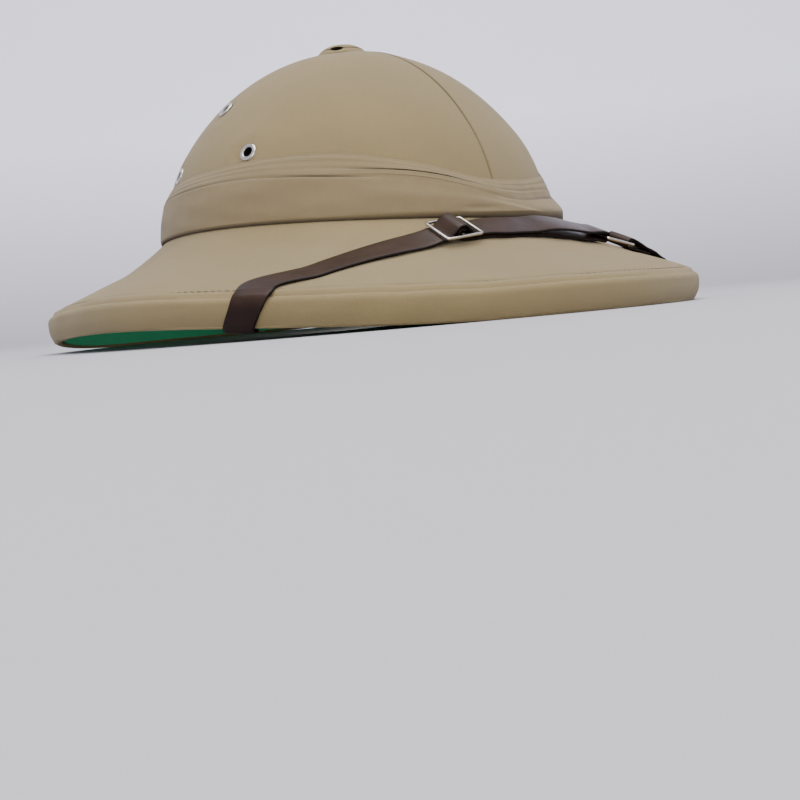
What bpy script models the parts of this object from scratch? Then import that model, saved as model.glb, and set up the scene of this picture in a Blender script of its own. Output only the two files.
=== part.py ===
"""Pith helmet: cloth-covered crown and brim, green under-brim, puggaree, top vent, air eyelets, chin strap.

Metres, +Z up. The front of the helmet faces -Y and the wearer's right side is at -X. The origin is at the
middle of the helmet on the surface that its rim rests on. An angle round the helmet is 0 at the front and
grows towards the wearer's right side.
"""

import math

import bmesh
import bpy
from mathutils import Matrix, Vector
from mathutils.bvhtree import BVHTree

# Clearances and cloth
GAP = 0.0003
SHELL = 0.003
LINING = 0.001
PUGGAREE_CLOTH = 0.0025

# Crown: outline over the puggaree where it meets the brim
CROWN_HALF_LENGTH = 0.1055
CROWN_HALF_WIDTH = 0.1005
CROWN_HEIGHT = 0.0942
CROWN_ROUNDNESS = 1.545
CROWN_FULLNESS = 2.06
VENT_HOLE_RADIUS = 0.006

# Brim and its upright rim
BRIM_HALF_LENGTH = 0.180
BRIM_HALF_WIDTH = 0.157
JOIN_HEIGHT = 0.0477
JOIN_SIDE_RISE = 0.0055
BRIM_SAG = 0.0042
RIM_HEIGHT = 0.013
RIM_LEAN = 0.0024
RIM_SIDE_RISE = 0.0083
RIM_FLAT_ARC = math.radians(22)
RIM_ROUNDING = 0.003
CREASE_CORNER = (0.00075, 0.00045)
EDGE_ROUNDING = 0.0005
LINING_HEM = 0.0015

# Puggaree: heights of its folds as shares of its height, at angles round the helmet
PUGGAREE_HEIGHT = 0.032
PUGGAREE_FOLD_SHARES = (
    # degrees, band, second fold, third fold, top
    (-180, 0.60, 0.69, 0.77, 0.84),
    (-113, 0.58, 0.66, 0.74, 0.80),
    (-75, 0.56, 0.68, 0.79, 0.89),
    (-55, 0.36, 0.50, 0.64, 0.76),
    (-38, 0.23, 0.37, 0.48, 0.60),
    (-20, 0.21, 0.35, 0.43, 0.50),
    (-8, 0.17, 0.30, 0.38, 0.46),
    (5, 0.21, 0.38, 0.43, 0.48),
    (13, 0.28, 0.52, 0.56, 0.60),
    (28, 0.38, 0.65, 0.70, 0.77),
    (42, 0.57, 0.69, 0.79, 0.90),
    (60, 0.63, 0.73, 0.83, 0.94),
    (75, 0.67, 0.75, 0.82, 0.89),
    (113, 0.62, 0.68, 0.74, 0.80),
    (180, 0.60, 0.69, 0.77, 0.84),
)
FOLD_SMOOTHING = math.radians(8)
PUGGAREE_LAYER_SHARES = (
    # line below, share of the way to the next line, share of the cloth's thickness
    (0, 0.00, 1.00),
    (0, 0.35, 0.92),
    (0, 0.96, 1.08),
    (1, 0.06, 0.80),
    (1, 0.94, 0.94),
    (2, 0.06, 0.66),
    (2, 0.94, 0.80),
    (3, 0.10, 0.54),
    (3, 0.92, 0.62),
    (3, 1.00, 0.44),
)
# How far the puggaree's foot stands out over the brim, most of all at the front of the wearer's left side
PUGGAREE_FLARE = (
    # degrees, metres
    (-180, 0.0),
    (-100, 0.0),
    (-70, 0.0030),
    (-50, 0.0045),
    (-25, 0.0040),
    (0, 0.0010),
    (15, 0.0),
    (180, 0.0),
)
PUGGAREE_FLARE_HEIGHT = 0.009

# Air eyelets, the same on both sides: angle, and height over the puggaree as a share of the crown's height
EYELET_PLACES = (
    ("front", 73, 0.00),
    ("upper", 99, 0.327),
    ("rear", 110, 0.00),
)
EYELET_MARGIN = 0.0012
EYELET_HOLE_RADIUS = 0.0023
EYELET_BARREL_RADIUS = 0.0028
EYELET_FLANGE_RADIUS = 0.0048
EYELET_FLANGE_HEIGHT = 0.0009
EYELET_BACK_HEIGHT = 0.0005

# Top vent
VENT_CAP_RADIUS = 0.0114
VENT_CAP_EDGE = 0.0009
VENT_CAP_DOME = 0.0019
VENT_COLLAR_RADIUS = 0.0122
VENT_COLLAR_TAPER = 0.92
VENT_COLLAR_HEIGHT = 0.0017
VENT_SLIT_LENGTH = 0.0065
VENT_SLIT_HEIGHT = 0.0009
VENT_STEM_RADIUS = 0.002
VENT_BAR_LENGTH = 0.019
VENT_BAR_WIDTH = 0.004
VENT_BAR_THICKNESS = 0.0015

# Straps
STRAP_WIDTH = 0.014
STRAP_THICKNESS = 0.0014
STRAP_STANDOFF = 0.0012
STRAP_SIDE_DRIFT = 0.010
STRAP_LIFT = 0.0008
STRAP_RIM_ANGLE = math.radians(59.5)
STRAP_LEFT_RIM_ANGLE = math.radians(54)
STRAP_RIM_DRIFT = math.radians(3.0)
STRAP_RIM_SLANT = 1.18
STRAP_ANCHOR_ANGLE = math.radians(84)
STRAP_ANCHOR_RISE = 0.018
STRAP_UNDER_SLACK = 0.002
STRAP_LAY_SHARE = 0.80
STRAP_BEND_WAYS = (0.1, 0.5, 1)

# Slider and ring: places along the strap, from the middle of the brim's front
METAL_WIDTH = 0.0018
METAL_THICKNESS = 0.0016
METAL_EDGE = 0.0004
SIDE_CLEARANCE = 0.0005
SLIDER_PLACE = -0.0405
SLIDER_LENGTH = 0.0200
RING_PLACE = 0.058
RING_LENGTH = 0.0222
RING_LIFT = 0.0037
SLIT_OPENING = 0.002
SHORT_FOLD_LENGTH = 0.018
HOLD_BLEND = 0.012

SEGMENTS = 72
CROWN_ROWS = 9
CROWN_INNER_ROWS = 6
PUGGAREE_INNER_ROWS = 4
TURN = 2 * math.pi

COVER = PUGGAREE_CLOTH + GAP
INNER_HALF_LENGTH = CROWN_HALF_LENGTH - COVER + GAP
INNER_HALF_WIDTH = CROWN_HALF_WIDTH - COVER + GAP
METAL_REACH = math.hypot(METAL_WIDTH, METAL_THICKNESS) / 2
WRAP_RADIUS = METAL_REACH + GAP + STRAP_THICKNESS / 2
LAYER_PITCH = STRAP_THICKNESS + GAP
LAY_HEIGHT = GAP + STRAP_THICKNESS / 2
SLIDER_LIFT = GAP + 2 * LAYER_PITCH + METAL_THICKNESS / 2


def eased(x):
    x = min(max(x, 0.0), 1.0)
    return x * x * (3 - 2 * x)


def mixed(a, b, share):
    return a + (b - a) * share


def oval(half_length, half_width, angle):
    return Vector((-half_width * math.sin(angle), -half_length * math.cos(angle)))


def reach(half_length, half_width, angle):
    return oval(half_length, half_width, angle).length


# Surfaces of the crown and the brim


def crown_outline(share):
    """How wide the crown is at a share of its height, as a share of its foot."""
    return max(1 - share**CROWN_ROUNDNESS, 0.0) ** (1 / CROWN_FULLNESS)


def crown_share_at(radius_share):
    return (1 - radius_share**CROWN_FULLNESS) ** (1 / CROWN_ROUNDNESS)


def join_height(angle):
    return JOIN_HEIGHT + JOIN_SIDE_RISE * math.sin(angle) ** 2


def crown_row(angle, share, inset=0.0):
    """Half length, half width and height of the crown's outer cloth at a share of its height."""
    cover = COVER * (1 - eased(share * CROWN_HEIGHT / (PUGGAREE_HEIGHT * 1.35)))
    width = crown_outline(share)
    height = CROWN_HEIGHT - inset
    return (
        (CROWN_HALF_LENGTH - inset) * width - cover,
        (CROWN_HALF_WIDTH - inset) * width - cover,
        mixed(join_height(angle), JOIN_HEIGHT, share) + height * share,
    )


def crown_inner_share(row):
    """Share of the crown's height at a row of its inner face."""
    top = crown_share_at(VENT_HOLE_RADIUS / (CROWN_HALF_LENGTH - SHELL))
    return math.sin(math.asin(top) * row / (CROWN_INNER_ROWS - 1))


def rim_rise(angle):
    """Height of the rim's lower edge: flat at the front and rear, raised at the sides."""
    aside = math.acos(min(abs(math.cos(angle)), 1.0))
    return RIM_SIDE_RISE * eased((aside - RIM_FLAT_ARC) / (TURN / 4 - RIM_FLAT_ARC))


def brim_axes(share):
    return (
        mixed(INNER_HALF_LENGTH, BRIM_HALF_LENGTH, share),
        mixed(INNER_HALF_WIDTH, BRIM_HALF_WIDTH, share),
    )


def brim_height(angle, share):
    """Height of the brim's top at a share of the way from the crown to the crease of the rim."""
    crease = rim_rise(angle) + RIM_HEIGHT
    sag = BRIM_SAG * 6.75 * share * (1 - share) ** 2
    return mixed(join_height(angle), crease, share) - sag


def brim_run(angle):
    return reach(*brim_axes(1), angle) - reach(*brim_axes(0), angle)


def brim_slope(angle, share):
    step = 0.01
    drop = brim_height(angle, share - step) - brim_height(angle, share + step)
    return drop / (2 * step * brim_run(angle))


def under_height(angle, share, depth):
    return brim_height(angle, share) - depth * math.hypot(1, brim_slope(angle, share))


def brim_share_at(x, y):
    """Share and angle of the brim at a point of the plan."""
    low, high = -0.2, 1.2
    for _ in range(40):
        share = (low + high) / 2
        half_length, half_width = brim_axes(share)
        if math.hypot(x / half_width, y / half_length) > 1:
            low = share
        else:
            high = share
    return share, math.atan2(-x / half_width, -y / half_length)


def brim_top(x, y):
    share, angle = brim_share_at(x, y)
    return Vector((x, y, brim_height(angle, share)))


def brim_normal(x, y):
    step = 0.001
    along = brim_top(x + step, y) - brim_top(x - step, y)
    back = brim_top(x, y + step) - brim_top(x, y - step)
    return along.cross(back).normalized()


# Making objects


def clear_scene():
    for thing in list(bpy.data.objects):
        bpy.data.objects.remove(thing, do_unlink=True)


def finish(name, colour, roughness, metallic=0.0):
    material = bpy.data.materials.new(name)
    material.use_nodes = True
    shader = material.node_tree.nodes["Principled BSDF"]
    shader.inputs["Base Color"].default_value = (*colour, 1)
    shader.inputs["Roughness"].default_value = roughness
    shader.inputs["Metallic"].default_value = metallic
    material.diffuse_color = (*colour, 1)
    return material


def add_object(name, mesh_builder, material):
    bmesh.ops.recalc_face_normals(mesh_builder, faces=mesh_builder.faces)
    mesh = bpy.data.meshes.new(name)
    mesh_builder.to_mesh(mesh)
    mesh_builder.free()
    thing = bpy.data.objects.new(name, mesh)
    bpy.context.scene.collection.objects.link(thing)
    thing.data.materials.append(material)
    mesh.shade_smooth()
    mesh.set_sharp_from_angle(angle=math.radians(35))
    return thing


def add_loops(builder, loops, closed):
    """Skins a row of loops with the same number of points, and caps the ends of an open row."""
    rings = [[builder.verts.new(point) for point in loop] for loop in loops]
    count = len(rings)
    for i in range(count if closed else count - 1):
        ring, after = rings[i], rings[(i + 1) % count]
        for j in range(len(ring)):
            k = (j + 1) % len(ring)
            builder.faces.new((ring[j], ring[k], after[k], after[j]))
    if not closed:
        builder.faces.new(rings[0])
        builder.faces.new(rings[-1])


def add_wall(name, section, material):
    """A wall that runs all round the helmet: section gives half length, half width and height at an angle."""
    builder = bmesh.new()
    loops = []
    for i in range(SEGMENTS):
        angle = TURN * i / SEGMENTS
        loops.append([(*oval(a, b, angle), z) for a, b, z in section(angle)])
    add_loops(builder, loops, closed=True)
    return add_object(name, builder, material)


def add_turned(name, profile, sides, material, hollow=False):
    """A turned piece from radius and height pairs: a loop round the axis, or a line from pole to pole."""
    builder = bmesh.new()
    middle = profile if hollow else profile[1:-1]
    loops = []
    for i in range(sides):
        turn = TURN * i / sides
        loops.append([(r * math.cos(turn), r * math.sin(turn), h) for r, h in middle])
    rings = [[builder.verts.new(point) for point in loop] for loop in loops]
    for i in range(sides):
        ring, after = rings[i], rings[(i + 1) % sides]
        for j in range(len(middle) if hollow else len(middle) - 1):
            k = (j + 1) % len(middle)
            builder.faces.new((ring[j], ring[k], after[k], after[j]))
    if not hollow:
        for end, row in ((profile[0], 0), (profile[-1], -1)):
            pole = builder.verts.new((0, 0, end[1]))
            for i in range(sides):
                builder.faces.new((pole, rings[i][row], rings[(i + 1) % sides][row]))
    return add_object(name, builder, material)


def add_block(name, size, middle, material):
    builder = bmesh.new()
    bmesh.ops.create_cube(builder, size=1)
    bmesh.ops.scale(builder, vec=size, verts=builder.verts)
    bmesh.ops.translate(builder, vec=middle, verts=builder.verts)
    return add_object(name, builder, material)


def stand(thing, place, up, along=None):
    """Places an object with its Z along up and, if given, its X along a direction."""
    z = up.normalized()
    x = (along or Vector((0, 0, 1)).cross(z) + Vector((1e-9, 0, 0))).normalized()
    x = (x - z * x.dot(z)).normalized()
    y = z.cross(x)
    turn = Matrix((x, y, z)).transposed().to_4x4()
    thing.matrix_world = Matrix.Translation(place) @ turn


def as_cutter(thing):
    thing.hide_render = True
    thing.display_type = "WIRE"
    return thing


def change(thing, operation, other):
    modifier = thing.modifiers.new(f"{operation.lower()} {other.name}", "BOOLEAN")
    modifier.operation = operation
    modifier.object = other
    modifier.solver = "EXACT"


def soften(thing):
    modifier = thing.modifiers.new("soft edges", "BEVEL")
    modifier.width = METAL_EDGE
    modifier.segments = 1
    modifier.limit_method = "ANGLE"


# The cloth-covered shell


def crown_section(angle):
    top = crown_share_at(VENT_HOLE_RADIUS / CROWN_HALF_LENGTH)
    foot = under_height(angle, 0, SHELL)
    first = crown_row(angle, 0)
    section = [(first[0], first[1], foot)]
    for i in range(CROWN_ROWS):
        share = math.sin(math.asin(top) * i / (CROWN_ROWS - 1))
        section.append(crown_row(angle, share))
    section[-1] = (VENT_HOLE_RADIUS, VENT_HOLE_RADIUS, section[-1][2])
    for i in reversed(range(CROWN_INNER_ROWS)):
        section.append(crown_row(angle, crown_inner_share(i), inset=SHELL))
        if i == CROWN_INNER_ROWS - 1:
            section[-1] = (VENT_HOLE_RADIUS, VENT_HOLE_RADIUS, section[-1][2])
    last = section[-1]
    section.append((last[0], last[1], foot))
    return section


def brim_section(angle):
    rise = rim_rise(angle)
    half_length, half_width = brim_axes(1)
    run = brim_run(angle)
    rounded = 1 - RIM_ROUNDING / run
    section = []
    for share in (0, 0.12, 0.27, 0.45, 0.65, 0.83, rounded):
        section.append((*brim_axes(share), brim_height(angle, share)))
    crease = rise + RIM_HEIGHT
    inset, drop = CREASE_CORNER
    section.append((half_length - inset, half_width - inset, crease - drop))
    section.append((half_length, half_width, crease - RIM_ROUNDING))
    low_out = RIM_LEAN
    low_in = RIM_LEAN + SHELL
    for inset, height in (
        (low_out, EDGE_ROUNDING),
        (low_out + EDGE_ROUNDING, 0),
        (low_in - EDGE_ROUNDING, 0),
        (low_in, EDGE_ROUNDING),
    ):
        section.append((half_length - inset, half_width - inset, rise + height))
    corner = 1 - SHELL / run
    for share in (corner, 0.65, 0.33, 0):
        section.append((*brim_axes(share), under_height(angle, share, SHELL)))
    return section


def lining_section(angle):
    """Green cloth under the brim, from the rim's inner face to the crown's inner face."""
    rise = rim_rise(angle)
    half_length, half_width = brim_axes(1)
    run = brim_run(angle)
    inner = crown_row(angle, 0, inset=SHELL)
    upper = SHELL + GAP
    lower = upper + LINING
    section = [(inner[0], inner[1], under_height(angle, 0, upper))]
    corner = 1 - upper / run
    for share in (0, 0.33, 0.65, corner):
        section.append((*brim_axes(share), under_height(angle, share, upper)))
    for inset in (RIM_LEAN + upper, RIM_LEAN + lower):
        section.append((half_length - inset, half_width - inset, rise + LINING_HEM))
    corner = 1 - lower / run
    for share in (corner, 0.65, 0.33, 0):
        section.append((*brim_axes(share), under_height(angle, share, lower)))
    section.append((inner[0], inner[1], under_height(angle, 0, lower)))
    return section


# The puggaree


def table_row(table, angle):
    """The columns of a table after its degrees, at an angle round the helmet."""
    at = (math.degrees(angle) + 180) % 360 - 180
    for low, high in zip(table, table[1:]):
        if low[0] <= at <= high[0]:
            share = (at - low[0]) / (high[0] - low[0])
            break
    return [mixed(a, b, share) for a, b in zip(low[1:], high[1:])]


def fold_heights(angle):
    """Heights above the join of the puggaree's foot, its three folds and its top."""
    spread = (-1, -0.5, 0, 0.5, 1)
    rows = [table_row(PUGGAREE_FOLD_SHARES, angle + FOLD_SMOOTHING * shift) for shift in spread]
    return [0.0] + [sum(column) * PUGGAREE_HEIGHT / len(spread) for column in zip(*rows)]


def puggaree_inner(angle, height):
    half_length, half_width, z = crown_row(angle, height / CROWN_HEIGHT)
    return half_length + GAP, half_width + GAP, z


def puggaree_section(angle):
    lines = fold_heights(angle)
    (flare,) = table_row(PUGGAREE_FLARE, angle)
    section = []
    for line, way, wall in PUGGAREE_LAYER_SHARES:
        height = mixed(lines[line], lines[line + 1], way)
        half_length, half_width, z = puggaree_inner(angle, height)
        thick = wall * PUGGAREE_CLOTH + flare * (1 - eased(height / PUGGAREE_FLARE_HEIGHT))
        section.append((half_length + thick, half_width + thick, z))
    foot = section[0]
    share = (foot[0] - INNER_HALF_LENGTH) / (BRIM_HALF_LENGTH - INNER_HALF_LENGTH)
    section[0] = (foot[0], foot[1], brim_height(angle, share) + GAP)
    for i in reversed(range(PUGGAREE_INNER_ROWS + 1)):
        section.append(puggaree_inner(angle, lines[4] * i / PUGGAREE_INNER_ROWS))
    last = section[-1]
    section[-1] = (last[0], last[1], brim_height(angle, 0) + GAP)
    return section


# Eyelets and vent


def crown_point(angle, share):
    half_length, half_width, z = crown_row(angle, share)
    return Vector((*oval(half_length, half_width, angle), z))


def crown_normal(angle, share):
    step = 0.01
    around = crown_point(angle + step, share) - crown_point(angle - step, share)
    up = crown_point(angle, share + step) - crown_point(angle, share - step)
    normal = around.cross(up).normalized()
    return normal if normal.dot(crown_point(angle, share)) > 0 else -normal


def wall_span(solid, point, normal, radius):
    """Heights of a wall's outermost and innermost points over a point, within a radius round a normal."""
    tree = BVHTree.FromPolygons(
        [vertex.co for vertex in solid.data.vertices],
        [face.vertices for face in solid.data.polygons],
    )
    side = Vector((0, 0, 1)).cross(normal).normalized()
    rise = normal.cross(side)
    outer, inner = [], []
    for share in (0, 0.5, 1):
        for i in range(12):
            turn = TURN * i / 12
            spot = point + (side * math.cos(turn) + rise * math.sin(turn)) * (radius * share)
            start = spot + normal * (2 * SHELL)
            first = tree.ray_cast(start, -normal)[0]
            second = tree.ray_cast(first - normal * (SHELL / 10), -normal)[0]
            outer.append((first - point).dot(normal))
            inner.append((second - point).dot(normal))
    return max(outer), min(inner)


def add_eyelets(crown, chrome):
    flange = EYELET_FLANGE_RADIUS
    lip = mixed(EYELET_HOLE_RADIUS, flange, 0.45)
    bore = EYELET_BARREL_RADIUS + GAP
    hole = ((0, -3 * SHELL), (bore, -3 * SHELL), (bore, 3 * SHELL), (0, 3 * SHELL))
    for side, turn in (("right", 1), ("left", -1)):
        for place, degrees, above in EYELET_PLACES:
            angle = turn * math.radians(degrees)
            over_band = fold_heights(angle)[-1] + EYELET_FLANGE_RADIUS + EYELET_MARGIN
            share = over_band / CROWN_HEIGHT + above
            point = crown_point(angle, share)
            normal = crown_normal(angle, share)
            outer, inner = wall_span(crown, point, normal, flange)
            seat = outer + GAP
            back = inner - GAP
            profile = (
                (EYELET_HOLE_RADIUS, seat + EYELET_FLANGE_HEIGHT * 0.6),
                (lip, seat + EYELET_FLANGE_HEIGHT),
                (flange, seat + EYELET_FLANGE_HEIGHT * 0.35),
                (flange, seat),
                (EYELET_BARREL_RADIUS, seat),
                (EYELET_BARREL_RADIUS, back),
                (flange * 0.85, back),
                (flange * 0.85, back - EYELET_BACK_HEIGHT),
                (EYELET_HOLE_RADIUS, back - EYELET_BACK_HEIGHT),
            )
            eyelet = add_turned(f"eyelet_{place}_{side}", profile, 10, chrome, hollow=True)
            stand(eyelet, point, normal)
            cutter = as_cutter(add_turned(f"hole_{place}_{side}", hole, 12, chrome))
            stand(cutter, point, normal)
            change(crown, "DIFFERENCE", cutter)


def crown_top_height(radius):
    return crown_row(0, crown_share_at(radius / CROWN_HALF_LENGTH))[2]


def add_vent(cloth, metal):
    inner = VENT_HOLE_RADIUS
    outer = VENT_COLLAR_RADIUS
    foot = crown_top_height(inner) + GAP
    top = foot + VENT_COLLAR_HEIGHT
    collar = add_turned(
        "vent_collar",
        (
            (inner, foot),
            (outer, crown_top_height(outer) + GAP),
            (outer * VENT_COLLAR_TAPER, top),
            (inner, top),
        ),
        24,
        cloth,
        hollow=True,
    )
    slit_height = top - VENT_COLLAR_HEIGHT * 0.25 - VENT_SLIT_HEIGHT / 2
    length = 3 * outer
    for name, size in (
        ("vent_slit_across", (VENT_SLIT_LENGTH, length, VENT_SLIT_HEIGHT)),
        ("vent_slit_along", (length, VENT_SLIT_LENGTH, VENT_SLIT_HEIGHT)),
    ):
        change(collar, "DIFFERENCE", as_cutter(add_block(name, size, (0, 0, slit_height), metal)))
    seat = top + GAP
    rim = VENT_CAP_RADIUS
    dome = seat + VENT_CAP_EDGE
    profile = [(0, seat), (rim * 0.96, seat), (rim, seat + VENT_CAP_EDGE * 0.5), (rim * 0.97, dome)]
    for share in (0.85, 0.62, 0.35):
        profile.append((rim * share, dome + VENT_CAP_DOME * (1 - share**2)))
    profile.append((0, dome + VENT_CAP_DOME))
    add_turned("vent_cap", profile, 24, cloth)
    rim_row = crown_row(0, crown_inner_share(CROWN_INNER_ROWS - 1), inset=SHELL)
    next_row = crown_row(0, crown_inner_share(CROWN_INNER_ROWS - 2), inset=SHELL)
    fall = (rim_row[2] - next_row[2]) / (next_row[1] - VENT_HOLE_RADIUS)
    corner = math.hypot(VENT_BAR_LENGTH, VENT_BAR_WIDTH) / 2
    bar_top = rim_row[2] - fall * max(corner - VENT_HOLE_RADIUS, 0) - GAP
    bar_foot = bar_top - VENT_BAR_THICKNESS
    tip = seat - GAP
    radius = VENT_STEM_RADIUS
    middle = (bar_foot + bar_top) / 2
    stem = add_turned("vent_stem", ((0, middle), (radius, middle), (radius, tip), (0, tip)), 12, metal)
    bar = add_block(
        "vent_bar", (VENT_BAR_LENGTH, VENT_BAR_WIDTH, VENT_BAR_THICKNESS), (0, 0, middle), metal
    )
    change(stem, "UNION", as_cutter(bar))


# Straps


def strap_end(hand):
    """Where the strap's middle line meets the crease: at the wearer's right (-1) or left (1)."""
    angle = STRAP_RIM_ANGLE if hand < 0 else STRAP_LEFT_RIM_ANGLE
    return oval(*brim_axes(1), -hand * angle)


def lay_end(hand):
    """Place along the strap where it starts to bend towards the rim."""
    return STRAP_LAY_SHARE * strap_end(hand).x


def strap_line(x):
    """Plan of the strap's middle line on the brim, from rim to rim past the crown's front."""
    front = -(CROWN_HALF_LENGTH + STRAP_STANDOFF + STRAP_WIDTH / 2)
    end = strap_end(math.copysign(1, x))
    way = x / end.x
    drift = STRAP_SIDE_DRIFT * (1 - way**2) * (SLIDER_PLACE - x) / strap_end(-1).x
    return front + (end.y - front) * way**2 - drift


def strap_across(x):
    step = 0.001
    slope = (strap_line(x + step) - strap_line(x - step)) / (2 * step)
    return Vector((-slope, 1)).normalized()


def lay(x, height, side):
    """A point of the strap's front (-1) or back (1) edge at a height over the brim."""
    middle = Vector((x, strap_line(x)))
    edge = middle + strap_across(x) * (side * STRAP_WIDTH / 2)
    return brim_top(*edge) + brim_normal(*middle) * height


def metal_frame(place):
    """Middle and directions along, across and over the strap where it is held by metal."""
    normal = brim_normal(place, strap_line(place))
    along = lay(place + METAL_WIDTH, 0, 0) - lay(place - METAL_WIDTH, 0, 0)
    across = normal.cross(along).normalized()
    return lay(place, 0, 0), across.cross(normal), across, normal


def held(place, x, height, side):
    """A point of the strap's edge in the flat frame of the metal at a place."""
    middle, along, across, normal = metal_frame(place)
    return middle + along * (x - place) + across * (side * STRAP_WIDTH / 2) + normal * height


def lay_station(x, height, normal):
    """The strap's four corners at a point of its middle line, with its outer face along the normal."""
    half = STRAP_THICKNESS / 2
    corners = []
    for sign, side in ((1, -1), (1, 1), (-1, 1), (-1, -1)):
        spot = (x + normal[0] * half * sign, height + normal[1] * half * sign, side)
        point = lay(*spot)
        for place, length in ((SLIDER_PLACE, SLIDER_LENGTH), (RING_PLACE, RING_LENGTH)):
            away = abs(x - place) - length / 2 - STRAP_THICKNESS
            point = point.lerp(held(place, *spot), 1 - eased(away / HOLD_BLEND))
        corners.append(point)
    return corners


def path_stations(path):
    """Stations along a path of places along the strap and heights over the brim."""
    stations = []
    for i, (x, height) in enumerate(path):
        before = path[max(i - 1, 0)]
        after = path[min(i + 1, len(path) - 1)]
        along = Vector((after[0] - before[0], after[1] - before[1])).normalized()
        stations.append(lay_station(x, height, (-along.y, along.x)))
    return stations


def arc(place, height, radius, start, end, count):
    """Points of an arc from a start to an end angle, round a bar at a place along the strap and a height."""
    points = []
    for i in range(count):
        turn = mixed(start, end, i / (count - 1))
        points.append((place + radius * math.cos(turn), height + radius * math.sin(turn)))
    return points


def touch_angle(place, height, radius, point, hand):
    """Angle at which a straight line from a point meets an arc round a bar, on its left (1) or right (-1)."""
    x, y = point[0] - place, point[1] - height
    return math.atan2(y, x) % TURN - hand * math.acos(min(radius / math.hypot(x, y), 1))


def edge_place(side, turn, way):
    """Share and angle on the brim of a strap edge, part of the way from the lay's end to the crease."""
    start = lay(lay_end(-turn), 0, side)
    share = mixed(brim_share_at(start.x, start.y)[0], 1.0, way)
    low, high = lay_end(-turn), 2 * lay_end(-turn)
    for _ in range(40):
        x = (low + high) / 2
        point = Vector((x, strap_line(x))) + strap_across(x) * (side * STRAP_WIDTH / 2)
        found, angle = brim_share_at(point.x, point.y)
        if found < share:
            low = x
        else:
            high = x
    return share, turn * angle


def wrap_track(angle, share):
    """The body that the strap wraps, at an angle: section points with outward directions in the section."""
    half_length, half_width = brim_axes(1)
    rise = rim_rise(angle)
    crease = rise + RIM_HEIGHT
    slope = brim_slope(angle, 1)
    up = Vector((slope, 1)).normalized()
    out = Vector((RIM_HEIGHT, -RIM_LEAN)).normalized()
    down = Vector((0, -1))
    inner = crown_row(angle, 0, inset=SHELL)
    mouth = under_height(angle, 0, SHELL + GAP + LINING)
    low = (half_length - RIM_LEAN - SHELL, half_width - RIM_LEAN - SHELL, rise)
    hidden = (inner[0], inner[1], mouth - STRAP_UNDER_SLACK)
    run = reach(low[0], low[1], angle) - reach(hidden[0], hidden[1], angle)
    chord = Vector((low[2] - hidden[2], -run)).normalized()
    inward = Vector((-1, 0))
    rounded = 1 - RIM_ROUNDING / brim_run(angle)
    track = []
    for way in STRAP_BEND_WAYS:
        at = mixed(share, rounded, way)
        track.append(((*brim_axes(at), brim_height(angle, at)), up))
    inset, drop = CREASE_CORNER
    corner = (half_length - inset, half_width - inset, crease - drop)
    track.append((corner, (up + out).normalized()))
    track.append(((half_length, half_width, crease - RIM_ROUNDING), out))
    face = (half_length - RIM_LEAN, half_width - RIM_LEAN, rise)
    track.append((face, out))
    track.append((face, (out + down).normalized()))
    track.append((face, down))
    track.append((low, down))
    track.append((low, (down + chord).normalized()))
    track.append((low, chord))
    for way in (0.33, 0.67, 1):
        point = tuple(mixed(low[i], hidden[i], way) for i in range(3))
        track.append((point, chord))
    track.append((hidden, (chord + inward).normalized()))
    track.append((hidden, inward))
    track.append((inner, inward))
    above = crown_row(angle, crown_inner_share(1), inset=SHELL)
    way = STRAP_ANCHOR_RISE / (above[2] - inner[2])
    track.append((tuple(mixed(inner[i], above[i], way) for i in range(3)), inward))
    return track


def wrap_stations(turn):
    """Stations from the brim's top over the rim, under the brim and up the crown's inner face."""
    starts = {side: edge_place(side, turn, 0)[0] for side in (-1, 1)}
    middle = (edge_place(-1, turn, 1)[1] + edge_place(1, turn, 1)[1]) / 2
    rim_reach = reach(*brim_axes(1), middle)
    mouth_reach = reach(INNER_HALF_LENGTH, INNER_HALF_WIDTH, STRAP_ANCHOR_ANGLE)
    spread = STRAP_WIDTH / rim_reach
    low_angle = middle + STRAP_RIM_DRIFT
    sideways = (STRAP_ANCHOR_ANGLE - low_angle) * (rim_reach + mouth_reach) / 2
    under_slant = math.hypot(1, sideways / (rim_reach - mouth_reach))
    mouth_spread = STRAP_WIDTH * under_slant / mouth_reach
    bends = len(STRAP_BEND_WAYS)
    stations = []
    for i in range(len(wrap_track(middle, 1))):
        corners = {}
        for side in (-1, 1):
            if i < bends:
                way = STRAP_BEND_WAYS[i]
                free = edge_place(side, turn, way)[1]
                angle = mixed(free, middle + side * spread * STRAP_RIM_SLANT / 2, eased(way))
            elif i < bends + 2:
                way = (i - bends + 1) / 3
                slant = mixed(STRAP_RIM_SLANT, 1, way)
                angle = middle + (side * spread * slant + STRAP_RIM_DRIFT * way) / 2
            elif i < bends + 8:
                angle = low_angle + side * spread / 2
            elif i < bends + 11:
                way = (i - bends - 7) / 3
                centre = mixed(low_angle, STRAP_ANCHOR_ANGLE, way)
                angle = centre + side * mixed(spread, mouth_spread, way) / 2
            else:
                angle = STRAP_ANCHOR_ANGLE + side * mouth_spread / 2
            (a, b, z), out = wrap_track(turn * angle, starts[side])[i]
            for lift in (GAP, GAP + STRAP_THICKNESS):
                shift = out * lift
                corners[side, lift] = (*oval(a + shift.x, b + shift.x, turn * angle), z + shift.y)
        inner, outer = GAP, GAP + STRAP_THICKNESS
        stations.append([corners[-1, outer], corners[1, outer], corners[1, inner], corners[-1, inner]])
    return stations


def add_strap(name, stations, leather):
    builder = bmesh.new()
    add_loops(builder, stations, closed=False)
    return add_object(name, builder, leather)


def ring_bar(hand):
    """Place of the ring's bar on the slider's side (-1) or on the rim's side (1)."""
    return RING_PLACE + hand * (RING_LENGTH - METAL_WIDTH) / 2


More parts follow.
